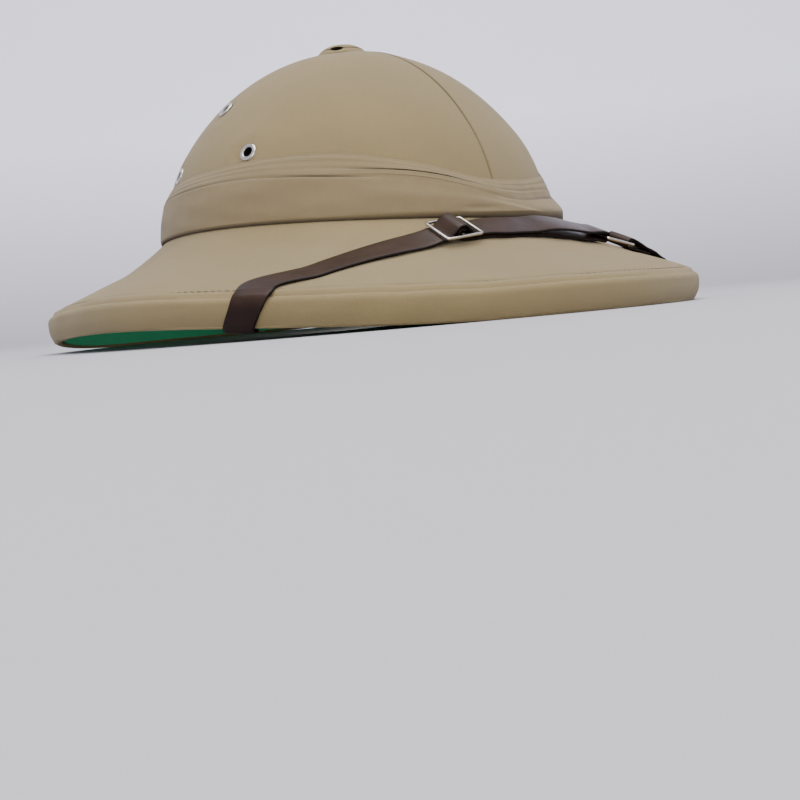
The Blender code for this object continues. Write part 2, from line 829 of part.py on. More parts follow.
def long_strap_path():
    """From the rim under the slider, over its middle bar, to the ring and back to the slider's middle bar."""
    x0, lift = SLIDER_PLACE, SLIDER_LIFT
    half = SLIDER_LENGTH / 2
    over = WRAP_RADIUS + LAYER_PITCH
    under_bar = lift - METAL_THICKNESS / 2 - GAP - STRAP_THICKNESS / 2
    window = half - METAL_WIDTH - METAL_EDGE
    far = ring_bar(-1)
    upper_end = RING_LIFT + WRAP_RADIUS
    lower_end = RING_LIFT - WRAP_RADIUS
    start = lay_end(-1)
    entry = [(start, LAY_HEIGHT)]
    for way in (0.12, 0.3, 0.48, 0.66, 0.84):
        lift_off = STRAP_LIFT * math.sin(way * TURN / 2)
        entry.append((mixed(start, x0 - half, way), LAY_HEIGHT + lift_off))
    before = (x0 - window, under_bar)
    after = (x0 + window, under_bar)
    entry += [(x0 - half * 1.3, mixed(LAY_HEIGHT, under_bar, 0.6)), (x0 - half, under_bar), before]
    first = touch_angle(x0, lift, over, before, 1)
    last = touch_angle(x0, lift, over, after, -1)
    hump = arc(x0, lift, over, first, last % TURN, 7)
    upper = [after, (x0 + half, under_bar)]
    lower = [(x0 + half * 0.6, LAY_HEIGHT), (x0 + half, LAY_HEIGHT)]
    for way in (0.08, 0.19, 0.30, 0.41, 0.52, 0.63, 0.74, 0.85, 0.93):
        x = mixed(x0 + half, far, way)
        near_ring = eased((way - 0.75) / 0.25)
        opening = SLIT_OPENING * eased((way - 0.35) / 0.25) * eased((0.97 - way) / 0.2)
        upper.append((x, mixed(LAY_HEIGHT + LAYER_PITCH + opening, upper_end, near_ring)))
        lower.append((x, mixed(LAY_HEIGHT, lower_end, near_ring)))
    fold = arc(far, RING_LIFT, WRAP_RADIUS, TURN / 4, -TURN / 4, 7)
    foot = touch_angle(x0, lift, WRAP_RADIUS, lower[0], 1)
    tuck = arc(x0, lift, WRAP_RADIUS, foot, TURN / 8, 9)
    return [*entry, *hump, *upper, *fold, *reversed(lower), *tuck]


def short_strap_path():
    """From its folded end round the ring's bar and back over itself towards the rim."""
    bar = ring_bar(1)
    upper_end = RING_LIFT + WRAP_RADIUS
    lower_end = RING_LIFT - WRAP_RADIUS
    foot = LAY_HEIGHT
    path = [(bar + SHORT_FOLD_LENGTH, foot)]
    for way in (0.7, 0.4):
        path.append((bar + SHORT_FOLD_LENGTH * way, mixed(lower_end, foot, way)))
    path += arc(bar, RING_LIFT, WRAP_RADIUS, -TURN / 4, -TURN * 3 / 4, 9)
    over_fold = foot + LAYER_PITCH * 1.2
    for way in (0.2, 0.4, 0.6, 0.8, 1.0):
        path.append((bar + SHORT_FOLD_LENGTH * way, mixed(upper_end, over_fold, eased(way))))
    for way in (0.33, 0.67, 1.0):
        x = mixed(bar + SHORT_FOLD_LENGTH, lay_end(1), way)
        path.append((x, mixed(over_fold, foot, eased(way))))
    return path


def add_frame_piece(name, place, lift, length, windows, material):
    """A flat rectangular metal frame over the strap line, with one or two windows along it."""
    width = STRAP_WIDTH + 2 * (SIDE_CLEARANCE + METAL_WIDTH)
    frame = add_block(name, (length, width, METAL_THICKNESS), (0, 0, 0), material)
    opening = (length - (windows + 1) * METAL_WIDTH) / windows
    for i in range(windows):
        middle = -length / 2 + METAL_WIDTH + opening / 2 + i * (opening + METAL_WIDTH)
        size = (opening, width - 2 * METAL_WIDTH, 3 * METAL_THICKNESS)
        window = as_cutter(add_block(f"{name}_window_{i}", size, (middle, 0, 0), material))
        change(frame, "DIFFERENCE", window)
        window.parent = frame
    soften(frame)
    middle, along, _, normal = metal_frame(place)
    stand(frame, middle + normal * lift, normal, along)


def add_straps(leather, chrome):
    long_stations = [*reversed(wrap_stations(1)), *path_stations(long_strap_path())]
    add_strap("strap_long", long_stations, leather)
    short_stations = [*path_stations(short_strap_path()), *wrap_stations(-1)]
    add_strap("strap_short", short_stations, leather)
    add_frame_piece("strap_slider", SLIDER_PLACE, SLIDER_LIFT, SLIDER_LENGTH, 2, chrome)
    add_frame_piece("strap_ring", RING_PLACE, RING_LIFT, RING_LENGTH, 1, chrome)


def main():
    clear_scene()
    khaki = finish("khaki cloth", (0.36, 0.29, 0.18), 0.85)
    band_cloth = finish("khaki band cloth", (0.34, 0.27, 0.16), 0.85)
    green = finish("green cloth", (0.02, 0.22, 0.10), 0.85)
    leather = finish("dark leather", (0.035, 0.016, 0.014), 0.35)
    chrome = finish("chrome", (0.75, 0.75, 0.76), 0.15, 1.0)
    stem = finish("plain steel", (0.5, 0.5, 0.5), 0.4, 1.0)
    crown = add_wall("crown", crown_section, khaki)
    add_wall("brim", brim_section, khaki)
    add_wall("brim_lining", lining_section, green)
    add_wall("puggaree", puggaree_section, band_cloth)
    add_eyelets(crown, chrome)
    add_vent(khaki, stem)
    add_straps(leather, chrome)


main()
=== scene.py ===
"""Pith helmet: the cloth, leather and metal of each piece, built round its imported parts."""

import math

import bmesh
import bpy
import numpy as np
from bpy.props import FloatProperty, FloatVectorProperty, PointerProperty
from mathutils import Matrix, Vector


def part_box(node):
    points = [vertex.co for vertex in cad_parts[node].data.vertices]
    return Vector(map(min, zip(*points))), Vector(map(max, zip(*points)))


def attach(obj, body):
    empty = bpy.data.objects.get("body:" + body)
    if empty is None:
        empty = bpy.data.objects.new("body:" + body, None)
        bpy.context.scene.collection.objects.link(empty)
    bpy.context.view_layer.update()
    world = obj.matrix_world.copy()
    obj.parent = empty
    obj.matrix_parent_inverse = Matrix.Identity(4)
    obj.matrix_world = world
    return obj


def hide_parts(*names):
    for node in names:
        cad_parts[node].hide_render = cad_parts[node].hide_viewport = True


bl_info = {
    "name": "Pith helmet",
    "version": (1, 0, 0),
    "blender": (4, 5, 0),
    "location": "View3D > Sidebar > Pith helmet",
    "description": "Cloth, leather and metal of a pith helmet, built round its packed parts",
    "category": "Add Mesh",
}

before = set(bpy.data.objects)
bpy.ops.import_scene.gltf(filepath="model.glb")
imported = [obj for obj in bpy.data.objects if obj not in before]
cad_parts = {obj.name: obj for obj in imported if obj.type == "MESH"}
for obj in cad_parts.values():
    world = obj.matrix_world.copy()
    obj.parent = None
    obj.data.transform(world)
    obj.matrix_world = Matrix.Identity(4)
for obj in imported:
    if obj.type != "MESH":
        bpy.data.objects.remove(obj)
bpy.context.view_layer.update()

TURN = 2 * math.pi
GAP = 0.0003

# The crown's form, as in the part: it grows inwards from its foot over the puggaree
BAND_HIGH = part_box("puggaree")[1]
BRIM_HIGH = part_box("brim")[1]
CROWN_HALF_LENGTH = BAND_HIGH.y
CROWN_HALF_WIDTH = BAND_HIGH.x
CROWN_HEIGHT = 0.0942
CROWN_ROUNDNESS = 1.545
CROWN_FULLNESS = 2.06
SHELL = 0.003
BAND_CLOTH = 0.0025
BAND_HEIGHT = 0.032
VENT_HOLE_RADIUS = 0.006

# The brim's form
BRIM_HALF_LENGTH = BRIM_HIGH.y
BRIM_HALF_WIDTH = BRIM_HIGH.x
JOIN_HEIGHT = 0.0477
JOIN_SIDE_RISE = 0.0055
BRIM_SAG = 0.0042
RIM_HEIGHT = 0.013
RIM_LEAN = 0.0024
RIM_SIDE_RISE = 0.0083
RIM_FLAT_ARC = math.radians(22)
RIM_ROUNDING = 0.003
CREASE_CORNER = (0.00075, 0.00045)
EDGE_ROUNDING = 0.0009
RIM_BULGE = 0.0007
BRIM_UNEVENNESS = (0.00045, 0.0002)
STITCH_DIP = 0.00016
STITCH_PUFF = 0.00004
LINING = 0.001
LINING_HEM = 0.0015
COVER = BAND_CLOTH + GAP
INNER_HALF_LENGTH = CROWN_HALF_LENGTH - COVER + GAP
INNER_HALF_WIDTH = CROWN_HALF_WIDTH - COVER + GAP

# Seams of the crown's panels: angle from the front, depth of the crevice, how far the lapped edge
# stands out, and how much painted shade darkens the crevice low down and high up
CROWN_SEAMS = (
    # degrees, groove, lap, dark low, dark high
    (0, 0.00060, 0.00030, 0.60, 0.95),
    (72, 0.00020, 0.00006, 0.30, 0.0),
    (111, 0.00022, 0.00008, 0.25, 0.1),
    (180, 0.00060, 0.00030, 0.60, 0.95),
    (249, 0.00022, 0.00008, 0.25, 0.1),
    (288, 0.00020, 0.00006, 0.30, 0.0),
)
SEAM_HALF_WIDTH = 0.00040
LAP_WIDTH = 0.009
# A seam that isn't dark at the top ends at this share of the crown's height, over this much of it
SEAM_END, SEAM_END_RUN = 0.62, 0.2
CROWN_UNEVENNESS = 0.00022
# Cloth round each eyelet: depth and width of the dent, height, place and width of the swell round it
EYELET_DENT = (0.0004, 0.007)
EYELET_SWELL = (0.00025, 0.010, 0.004)

# Folds of the puggaree: height of each as a share of the band's height
FOLD_SHARES = (
    # degrees, band, second, third, top
    (-180, 0.60, 0.69, 0.77, 0.84),
    (-113, 0.58, 0.66, 0.74, 0.80),
    (-75, 0.56, 0.68, 0.79, 0.89),
    (-55, 0.36, 0.50, 0.64, 0.76),
    (-38, 0.23, 0.37, 0.48, 0.60),
    (-20, 0.21, 0.35, 0.43, 0.50),
    (-8, 0.17, 0.30, 0.38, 0.46),
    (5, 0.27, 0.40, 0.44, 0.48),
    (13, 0.38, 0.52, 0.56, 0.60),
    (22, 0.48, 0.61, 0.66, 0.71),
    (28, 0.52, 0.65, 0.70, 0.77),
    (42, 0.57, 0.69, 0.79, 0.90),
    (60, 0.63, 0.73, 0.83, 0.94),
    (75, 0.67, 0.75, 0.82, 0.89),
    (113, 0.62, 0.68, 0.74, 0.80),
    (180, 0.60, 0.69, 0.77, 0.84),
)
# How crisp each fold's edge is, from a soft swell to a lapped edge
FOLD_CRISPNESS = (
    # degrees, band, second, third, top
    (-180, 0.8, 0.3, 0.2, 0.4),
    (-90, 0.8, 0.4, 0.2, 0.4),
    (-45, 1.0, 0.5, 0.3, 0.3),
    (-20, 0.8, 0.3, 0.2, 0.2),
    (-8, 0.6, 0.2, 0.1, 0.1),
    (0, 0.3, 0.2, 0.0, 0.1),
    (8, 0.0, 0.5, 0.0, 0.0),
    (14, 0.0, 1.2, 0.0, 0.0),
    (33, 0.0, 1.3, 0.0, 0.1),
    (39, 0.3, 0.5, 0.1, 0.2),
    (43, 1.0, 0.2, 0.2, 0.2),
    (57, 0.9, 0.1, 0.1, 0.4),
    (64, 0.2, 0.1, 0.1, 0.3),
    (74, 0.5, 0.1, 0.2, 0.1),
    (92, 0.7, 0.2, 0.1, 0.1),
    (120, 0.8, 0.5, 0.2, 0.3),
    (180, 0.8, 0.3, 0.2, 0.4),
)
# How far the puggaree's foot stands out over the brim
FLARE = (
    # degrees, metres
    (-180, 0.0),
    (-100, 0.0),
    (-70, 0.0030),
    (-50, 0.0045),
    (-25, 0.0040),
    (0, 0.0010),
    (15, 0.0),
    (180, 0.0),
)
FLARE_HEIGHT = 0.009
# The soft swell that runs down across the front of the puggaree to its foot
SWELL = (
    # degrees, height of its upper edge, how far it stands out, half width of its edge
    (-60, -0.0060, 0.0, 0.0008),
    (-24, -0.0020, 0.0004, 0.0008),
    (-12, 0.0008, 0.0008, 0.0009),
    (-2, 0.0047, 0.0008, 0.0010),
    (5, 0.0069, 0.0007, 0.0014),
    (20, 0.0107, 0.0006, 0.0024),
    (34, 0.0131, 0.0004, 0.0030),
    (50, 0.0131, 0.0, 0.0030),
    (180, 0.0131, 0.0, 0.0030),
)
FOLD_SMOOTHING = 5
# The puggaree's foot: height, how far it is set back, and how much painted shade darkens it
BAND_FOOT = ((0.0, 0.0004, 0.8), (0.0001, 0.0001, 0.2), (0.0004, 0.0, 0.0))
# Wall of each lap as a share of the cloth's depth, and what is left of the last one at its top
LAP_SHARES = (1.0, 0.80, 0.60, 0.38)
TOP_LAP_REST = 0.3
# A fold's edge, where it is crisp and where it is soft, with painted shade in the tuck under a crisp edge
FOLD_EDGE = (
    # crisp rise (metres, or shares of the tuck from -0.5 down), soft rise (share), drops, painted shade
    (-0.0004, -0.96, 0.00, 0.02, 0.0),
    (-0.0001, -0.66, 0.06, 0.12, 0.0),
    (0.00005, -0.33, 0.30, 0.29, 0.1),
    (0.0, 0.0, 0.62, 0.50, 0.6),
    (-1.0, 0.33, 0.96, 0.71, 1.0),
    (-0.5, 0.66, 1.00, 0.88, 1.0),
    (0.00012, 0.85, 1.00, 0.96, 1.0),
    (0.00080, 0.98, 1.00, 1.00, 0.85),
)
# Room for an edge over and under its fold: greatest height, and share of the room between two folds
SOFT_ROOM = (0.0022, 0.47)
CRISP_ROOM = (0.0014, 0.4)
TUCK_ROOM = (0.0016, 0.38)
TOP_ROOM = 0.003

# Air eyelets on both sides: angle and height over the join
EYELETS = (
    ("front", 73, 0.0345),
    ("upper", 99, 0.0637),
    ("rear", 110, 0.0315),
)
EYELET_HOLE_RADIUS = 0.0023
EYELET_BARREL_RADIUS = 0.0028
EYELET_FLANGE_RADIUS = 0.0048
EYELET_VISIBLE_SHARE = 0.94
EYELET_TOTAL_RISE = 0.0009
EYELET_DOME_HEIGHT = 0.00085
EYELET_BACK_THICKNESS = 0.0005

# Vent slits: angles round the vent
VENT_SLIT_PLACES = (53, 173, 293)
VENT_SLIT_LENGTH = 0.0076
VENT_SLIT_HEIGHT = 0.0013
VENT_FLARE = 0.0018
VENT_DOME_RISE = 0.0003
VENT_EDGE = 0.0002

# Straps
STRAP_WIDTH = 0.014
STRAP_THICKNESS = 0.0014
STRAP_STANDOFF = 0.0012
STRAP_SIDE_DRIFT = 0.010
STRAP_LIFT = 0.0008
STRAP_RIM_ANGLE = math.radians(59.5)
STRAP_LEFT_RIM_ANGLE = math.radians(54)
STRAP_RIM_DRIFT = math.radians(3.0)
STRAP_RIM_SLANT = 1.18
STRAP_ANCHOR_ANGLE = math.radians(84)
STRAP_ANCHOR_RISE = 0.018
STRAP_UNDER_SLACK = 0.002
STRAP_LAY_SHARE = 0.80
STRAP_BEND_WAYS = (0.08, 0.2, 0.35, 0.5, 0.65, 0.8, 0.92, 1)
METAL_WIDTH = 0.0018
METAL_THICKNESS = 0.0016
METAL_EDGE = 0.0004
WIRE_WIDTH = 0.0014
WIRE_THICKNESS = 0.0013
WIRE_CORNER = 0.0012
WIRE_SQUARENESS = 0.75
SIDE_CLEARANCE = 0.0005
SLIDER_PLACE = -0.0405
SLIDER_LENGTH = 0.0200
RING_PLACE = 0.058
RING_LENGTH = 0.0222
RING_LIFT = 0.0037
SLIT_OPENING = 0.002
SHORT_FOLD_LENGTH = 0.018
HOLD_BLEND = 0.012
METAL_REACH = math.hypot(METAL_WIDTH, METAL_THICKNESS) / 2
WRAP_RADIUS = METAL_REACH + GAP + STRAP_THICKNESS / 2
LAYER_PITCH = STRAP_THICKNESS + GAP
LAY_HEIGHT = GAP + STRAP_THICKNESS / 2
SLIDER_LIFT = GAP + 2 * LAYER_PITCH + METAL_THICKNESS / 2

# Camera: place, and the directions of the picture's right side, its top and the way back from it
CAMERA_PLACE = (-0.41439, -0.48897, 0.00797)
CAMERA_RIGHT = (0.74080, -0.66605, -0.08712)
CAMERA_UP = (0.11546, -0.00151, 0.99331)
CAMERA_BACK = (-0.66173, -0.74590, 0.07578)
CAMERA_LENS_MM = 54
SENSOR_MM = 36

# Soft lights: place, aim, width and height, spread in degrees
LIGHTS = {
    "above": ((-0.1, -0.4, 1.9), (0, 0, 0.06), (2.0, 2.0), 180),
    "front": ((-1.5, -1.3, 1.2), (0, 0, 0.06), (1.2, 1.2), 180),
    "low": ((-0.85, -0.95, 0.30), (0, 0, 0.02), (0.6, 0.4), 100),
    "inside": ((0.02, -0.04, 0.012), (-0.055, 0.16, 0.012), (0.16, 0.012), 90),
    "wall": ((0.9, 1.0, 1.5), (1.9, 2.1, 0.7), (1.4, 1.4), 180),
}
LIGHT_COLOUR = (1.0, 0.97, 0.94)
ROOM_COLOUR = (0.87, 0.88, 1.0, 1.0)
FLOOR_RADIUS = 1.8
SWEEP_RADIUS = 1.0
WALL_TOP = 2.6


def eased(x):
    x = np.clip(x, 0.0, 1.0)
    return x * x * (3 - 2 * x)


def mixed(a, b, share):
    return a + (b - a) * share


def within_half_turn(angle):
    return (angle + math.pi) % TURN - math.pi


def turned_away(angles, degrees):
    """Angles from a direction given in degrees, between minus and plus half a turn."""
    return within_half_turn(angles - math.radians(degrees))


def bell(distance, width):
    return np.exp(-((distance / width) ** 2))


def oval(half_length, half_width, angle):
    return -half_width * np.sin(angle), -half_length * np.cos(angle)


def reach(half_length, half_width, angle):
    return np.hypot(*oval(half_length, half_width, angle))


def ripple(seed, *steps):
    """Soft unevenness between about -1 and 1 from a few waves over angles or lengths."""
    chance = np.random.default_rng(seed)
    total = 0.0
    for _ in range(7):
        phase = chance.uniform(0, TURN)
        for values, rate in steps:
            phase = phase + values * np.round(chance.uniform(-rate, rate))
        total = total + np.sin(phase)
    return total / 3.5


def table_value(rows, column, angle):
    """A column of a table at angles from the front, smoothed a little."""
    degrees = np.degrees(angle)
    rows = np.array(rows, float)
    total = 0.0
    shifts = (-FOLD_SMOOTHING, 0, FOLD_SMOOTHING)
    for shift in shifts:
        turned = (degrees + shift + 180) % 360 - 180
        total = total + np.interp(turned, rows[:, 0], rows[:, column])
    return total / len(shifts)


# Surfaces that the pieces share with the part


def crown_outline(share):
    return np.maximum(1 - np.asarray(share, float) ** CROWN_ROUNDNESS, 0) ** (1 / CROWN_FULLNESS)


def crown_share_at(radius_share):
    return (1 - radius_share**CROWN_FULLNESS) ** (1 / CROWN_ROUNDNESS)


def join_height(angle):
    return JOIN_HEIGHT + JOIN_SIDE_RISE * np.sin(angle) ** 2


def crown_row(angle, share, inset=0.0):
    """Half length, half width and height of the crown's cloth at a share of its height."""
    cover = COVER * (1 - eased(share * CROWN_HEIGHT / (BAND_HEIGHT * 1.35)))
    width = crown_outline(share)
    return (
        (CROWN_HALF_LENGTH - inset) * width - cover,
        (CROWN_HALF_WIDTH - inset) * width - cover,
        mixed(join_height(angle), JOIN_HEIGHT, share) + (CROWN_HEIGHT - inset) * share,
    )


def crown_point(angle, share):
    half_length, half_width, z = crown_row(angle, share)
    return Vector((*oval(half_length, half_width, angle), z))


def crown_top_height(radius):
    return crown_row(0, crown_share_at(radius / CROWN_HALF_LENGTH))[2]


def rim_rise(angle):
    aside = np.arccos(np.minimum(np.abs(np.cos(angle)), 1.0))
    return RIM_SIDE_RISE * eased((aside - RIM_FLAT_ARC) / (TURN / 4 - RIM_FLAT_ARC))


def brim_axes(share):
    return (
        mixed(INNER_HALF_LENGTH, BRIM_HALF_LENGTH, share),
        mixed(INNER_HALF_WIDTH, BRIM_HALF_WIDTH, share),
    )


def brim_height(angle, share):
    crease = rim_rise(angle) + RIM_HEIGHT
    sag = BRIM_SAG * 6.75 * share * (1 - share) ** 2
    return mixed(join_height(angle), crease, share) - sag


def brim_run(angle):
    return reach(*brim_axes(1), angle) - reach(*brim_axes(0), angle)


def brim_slope(angle, share):
    step = 0.01
    drop = brim_height(angle, share - step) - brim_height(angle, share + step)
    return drop / (2 * step * brim_run(angle))


def under_height(angle, share, depth):
    return brim_height(angle, share) - depth * np.hypot(1, brim_slope(angle, share))


def brim_share_at(x, y):
    low, high = -0.2, 1.2
    for _ in range(40):
        share = (low + high) / 2
        half_length, half_width = brim_axes(share)
        if math.hypot(x / half_width, y / half_length) > 1:
            low = share
        else:
            high = share
    return share, math.atan2(-x / half_width, -y / half_length)


def brim_top(x, y):
    share, angle = brim_share_at(x, y)
    return Vector((x, y, float(brim_height(angle, share))))


def brim_normal(x, y):
    step = 0.001
    along = brim_top(x + step, y) - brim_top(x - step, y)
    back = brim_top(x, y + step) - brim_top(x, y - step)
    return along.cross(back).normalized()


# Meshes


def grid_normals(points, wrap_round, wrap_section):
    """Unit normals of a grid of points."""

    def slopes(axis, wrap):
        if wrap:
            return np.roll(points, -1, axis) - np.roll(points, 1, axis)
        return np.gradient(points, axis=axis)

    normals = np.cross(slopes(0, wrap_round), slopes(1, wrap_section))
    size = np.linalg.norm(normals, axis=2, keepdims=True)
    return normals / np.maximum(size, 1e-12)


def add_grid(name, points, weave=None, marks=None, wrap_round=True, wrap_section=True, material=None):
    """A mesh from a grid of points: the first index runs round or along, the second over the section.

    weave holds two grids of places on the cloth in metres, for each face's near and far side.
    marks holds named grids between 0 and 1, which the materials read.
    """
    count, size = points.shape[:2]
    rows = np.arange(count if wrap_round else count - 1)
    steps = np.arange(size if wrap_section else size - 1)
    i, j = np.meshgrid(rows, steps, indexing="ij")
    after_i, after_j = (i + 1) % count, (j + 1) % size
    corners = ((i, j), (i, after_j), (after_i, after_j), (after_i, j))
    faces = np.stack([a * size + b for a, b in corners], -1).reshape(-1, 4)
    mesh = bpy.data.meshes.new(name)
    mesh.from_pydata(points.reshape(-1, 3).tolist(), [], faces.tolist())
    layer = mesh.uv_layers.new(name="weave")
    if weave is not None:
        near, far = weave
        sides = (near[i, j], near[i, after_j], far[i, after_j], far[i, j])
        layer.data.foreach_set("uv", np.stack(sides, 2).reshape(-1).astype(np.float32))
    for mark, values in (marks or {}).items():
        attribute = mesh.attributes.new(mark, "FLOAT", "POINT")
        spread = np.broadcast_to(values, (count, size)).reshape(-1)
        attribute.data.foreach_set("value", spread.astype(np.float32))
    if wrap_section and not wrap_round:
        close_ends(mesh, count, size)
    turn_outwards(mesh)
    mesh.shade_smooth()
    return add_piece(name, mesh, material)


def add_piece(name, mesh, material=None):
    if material:
        mesh.materials.append(material)
    piece = bpy.data.objects.new(name, mesh)
    bpy.context.scene.collection.objects.link(piece)
    return piece


def rebuild(mesh, change):
    """Makes a change to a mesh while it is editable."""
    builder = bmesh.new()
    builder.from_mesh(mesh)
    change(builder)
    builder.to_mesh(mesh)
    builder.free()


def close_ends(mesh, count, size):
    """Caps both ends of a tube of sections."""

    def add_caps(builder):
        builder.verts.ensure_lookup_table()
        for first in (0, (count - 1) * size):
            builder.faces.new([builder.verts[first + k] for k in range(size)])

    rebuild(mesh, add_caps)


def turn_outwards(mesh):
    rebuild(mesh, lambda builder: bmesh.ops.recalc_face_normals(builder, faces=builder.faces))


def weld(mesh):
    """Joins points at the same place, such as those at a pole."""
    rebuild(mesh, lambda builder: bmesh.ops.remove_doubles(builder, verts=builder.verts, dist=1e-6))
    turn_outwards(mesh)


class Rings:
    """The section of a wall that runs round the helmet, ring by ring, at all angles."""

    def __init__(self, angles):
        self.angles = angles
        self.turns = angles[:, None]
        self.grids = ([], [], [], [])

    # dark is how much painted shade darkens the cloth at the ring, set as the crease mark.
    def add(self, half_length, half_width, z, dark=0.0):
        for grid, values in zip(self.grids, (half_length, half_width, z, dark)):
            grid.append(np.broadcast_to(values, self.turns.shape).astype(float))

    def add_round(self, radius, z, dark=0.0):
        self.add(radius, radius, z, dark)

    def add_edge(self, inset, z):
        """A ring inside the brim's outer edge."""
        length, width = brim_axes(1)
        self.add(length - inset, width - inset, z)

    def add_under(self, depth, ways):
        """Rings under the brim's top, as far below it as depth."""
        for way in ways:
            share = (1 - depth / brim_run(self.turns)) * way
            self.add(*brim_axes(share), under_height(self.turns, share, depth))

    def points(self):
        half_length, half_width, z = (np.concatenate(grid, axis=1) for grid in self.grids[:3])
        x, y = oval(half_length, half_width, self.turns)
        return np.stack([x, y, z], -1)

    def dark(self):
        return np.concatenate(self.grids[3], axis=1)


def cloth_places(points, angles, centres):
    """Places on the cloth for a ring of panels: metres from the middle of its panel, and along it.

    centres holds the angle of each panel's middle, in degrees from the front.
    """
    size = points.shape[1]
    after = np.roll(angles, -1).copy()
    after[-1] += TURN
    middle = (angles + after) / 2
    centres = np.array([math.radians(centre) for centre in centres])
    gaps = within_half_turn(middle[:, None] - centres[None, :])
    nearest = centres[np.argmin(np.abs(gaps), axis=1)]
    radius = np.hypot(points[..., 0], points[..., 1])
    steps = np.linalg.norm(np.diff(points, axis=1), axis=2)
    along = np.concatenate([np.zeros((len(points), 1)), np.cumsum(steps, axis=1)], axis=1)
    grids = []
    for turn, lengths, reaches in (
        (angles, along, radius),
        (after, np.roll(along, -1, 0), np.roll(radius, -1, 0)),
    ):
        away = within_half_turn(turn - nearest)
        grids.append(np.stack([reaches * away[:, None] + np.zeros(size), lengths], -1))
    return grids


def even_angles(count):
    return np.arange(count) * TURN / count


def fine_angles(count, places, spread):
    """Angles all round, with more of them close to some places."""
    angles = list(even_angles(count))
    for place in places:
        for shift in spread:
            angles.append(math.radians(place + shift) % TURN)
            angles.append(math.radians(place - shift) % TURN)
    angles = np.sort(np.array(angles))
    keep = np.ones(len(angles), bool)
    keep[1:] = np.diff(angles) > 1e-4
    return angles[keep]


def turned(name, profile, sides, material, closed=True, marks=None):
    """A turned piece from radius and height pairs; a radius of 0 ends the profile at a pole."""
    profile = np.array(profile, float)
    turns = even_angles(sides)
    x = np.cos(turns)[:, None] * profile[:, 0]
    y = np.sin(turns)[:, None] * profile[:, 0]
    z = np.zeros((sides, 1)) + profile[:, 1]
    piece = add_grid(name, np.stack([x, y, z], -1), marks=marks, wrap_section=closed, material=material)
    if not closed:
        weld(piece.data)
    return piece


def stand(piece, place, up, along=None):
    """Places a piece with its Z along up and, if given, its X along a direction."""
    z = up.normalized()
    x = along or Vector((0, 0, 1)).cross(z) + Vector((1e-9, 0, 0))
    x = (x - z * x.dot(z)).normalized()
    y = z.cross(x)
    turn = Matrix((x, y, z)).transposed().to_4x4()
    piece.data.transform(Matrix.Translation(place) @ turn)
    return piece


def join(name, pieces):
    """One piece from several meshes with the same material."""
    mesh = bpy.data.meshes.new(name)
    builder = bmesh.new()
    for piece in pieces:
        builder.from_mesh(piece.data)
    builder.to_mesh(mesh)
    builder.free()
    material = pieces[0].data.materials[0]
    for piece in pieces:
        bpy.data.objects.remove(piece, do_unlink=True)
    joined = add_piece(name, mesh, material)
    mesh.shade_smooth()
    return joined


def cut(piece, cutters):
    """Cuts closed meshes out of a piece and applies the result."""
    for cutter in cutters:
        modifier = piece.modifiers.new("hole", "BOOLEAN")
        modifier.operation = "DIFFERENCE"
        modifier.solver = "EXACT"
        modifier.object = cutter
    graph = bpy.context.evaluated_depsgraph_get()
    result = bpy.data.meshes.new_from_object(piece.evaluated_get(graph))
    piece.modifiers.clear()
    piece.data = result
    for cutter in cutters:
        bpy.data.objects.remove(cutter, do_unlink=True)


def hand_over(piece, slot, *nodes):
    """Rides a piece on the part and hides the nodes that it stands for."""
    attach(piece, "root")
    if nodes:
        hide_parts(*nodes)


# Materials


class Shade:
    """A shader socket whose arithmetic adds Math nodes."""

    def __init__(self, tree, socket):
        self.tree = tree
        self.socket = socket

    def maths(self, operation, *values, clamp=False):
        node = self.tree.nodes.new("ShaderNodeMath")
        node.operation = operation
        node.use_clamp = clamp
        for k, value in enumerate(values):
            if isinstance(value, Shade):
                self.tree.links.new(value.socket, node.inputs[k])
            else:
                node.inputs[k].default_value = value
        return Shade(self.tree, node.outputs[0])

    def __add__(self, other):
        return self.maths("ADD", self, other)

    def __sub__(self, other):
        return self.maths("SUBTRACT", self, other)

    def __rsub__(self, other):
        return self.maths("SUBTRACT", other, self)

    def __mul__(self, other):
        return self.maths("MULTIPLY", self, other)

    __radd__ = __add__
    __rmul__ = __mul__

    def sine(self):
        return self.maths("SINE", self)

    def size(self):
        return self.maths("ABSOLUTE", self)

    def held(self):
        """The value, kept between 0 and 1."""
        return self.maths("ADD", self, 0.0, clamp=True)


class Finish:
    """A material under construction."""

    def __init__(self, name, **constants):
        self.material = bpy.data.materials.new(name)
        self.material.use_nodes = True
        self.tree = self.material.node_tree
        self.shader = self.tree.nodes["Principled BSDF"]
        for socket, value in constants.items():
            self.shader.inputs[socket.replace("_", " ")].default_value = value

    def node(self, kind, out=0, settings=None, **inputs):
        node = self.tree.nodes.new(kind)
        for setting, value in (settings or {}).items():
            setattr(node, setting, value)
        for socket, value in inputs.items():
            target = node.inputs[int(socket[1:])] if socket[0] == "_" else node.inputs[socket]
            if isinstance(value, Shade):
                self.tree.links.new(value.socket, target)
            else:
                target.default_value = value
        return Shade(self.tree, node.outputs[out])

    def feed(self, socket, shade):
        self.tree.links.new(shade.socket, self.shader.inputs[socket])

    def place(self):
        return self.node("ShaderNodeTexCoord", out=3)

    def noise(self, scale, detail=3.0, vector=None):
        return self.node("ShaderNodeTexNoise", Vector=vector or self.place(), Scale=scale, Detail=detail)

    def stretched(self, factors, vector=None):
        settings = {"operation": "MULTIPLY"}
        return self.node("ShaderNodeVectorMath", settings=settings, _0=vector or self.place(), _1=factors)

    def mark(self, name):
        return self.node("ShaderNodeAttribute", out=2, settings={"attribute_name": name})

    def blend(self, share, first, second):
        settings = {"data_type": "RGBA"}
        return self.node("ShaderNodeMix", out=2, settings=settings, _0=share, _6=first, _7=second)

    def bump(self, height, distance, strength=1.0, after=None):
        inputs = {"Height": height, "Distance": distance, "Strength": strength}
        if after:
            inputs["Normal"] = after
        return self.node("ShaderNodeBump", **inputs)


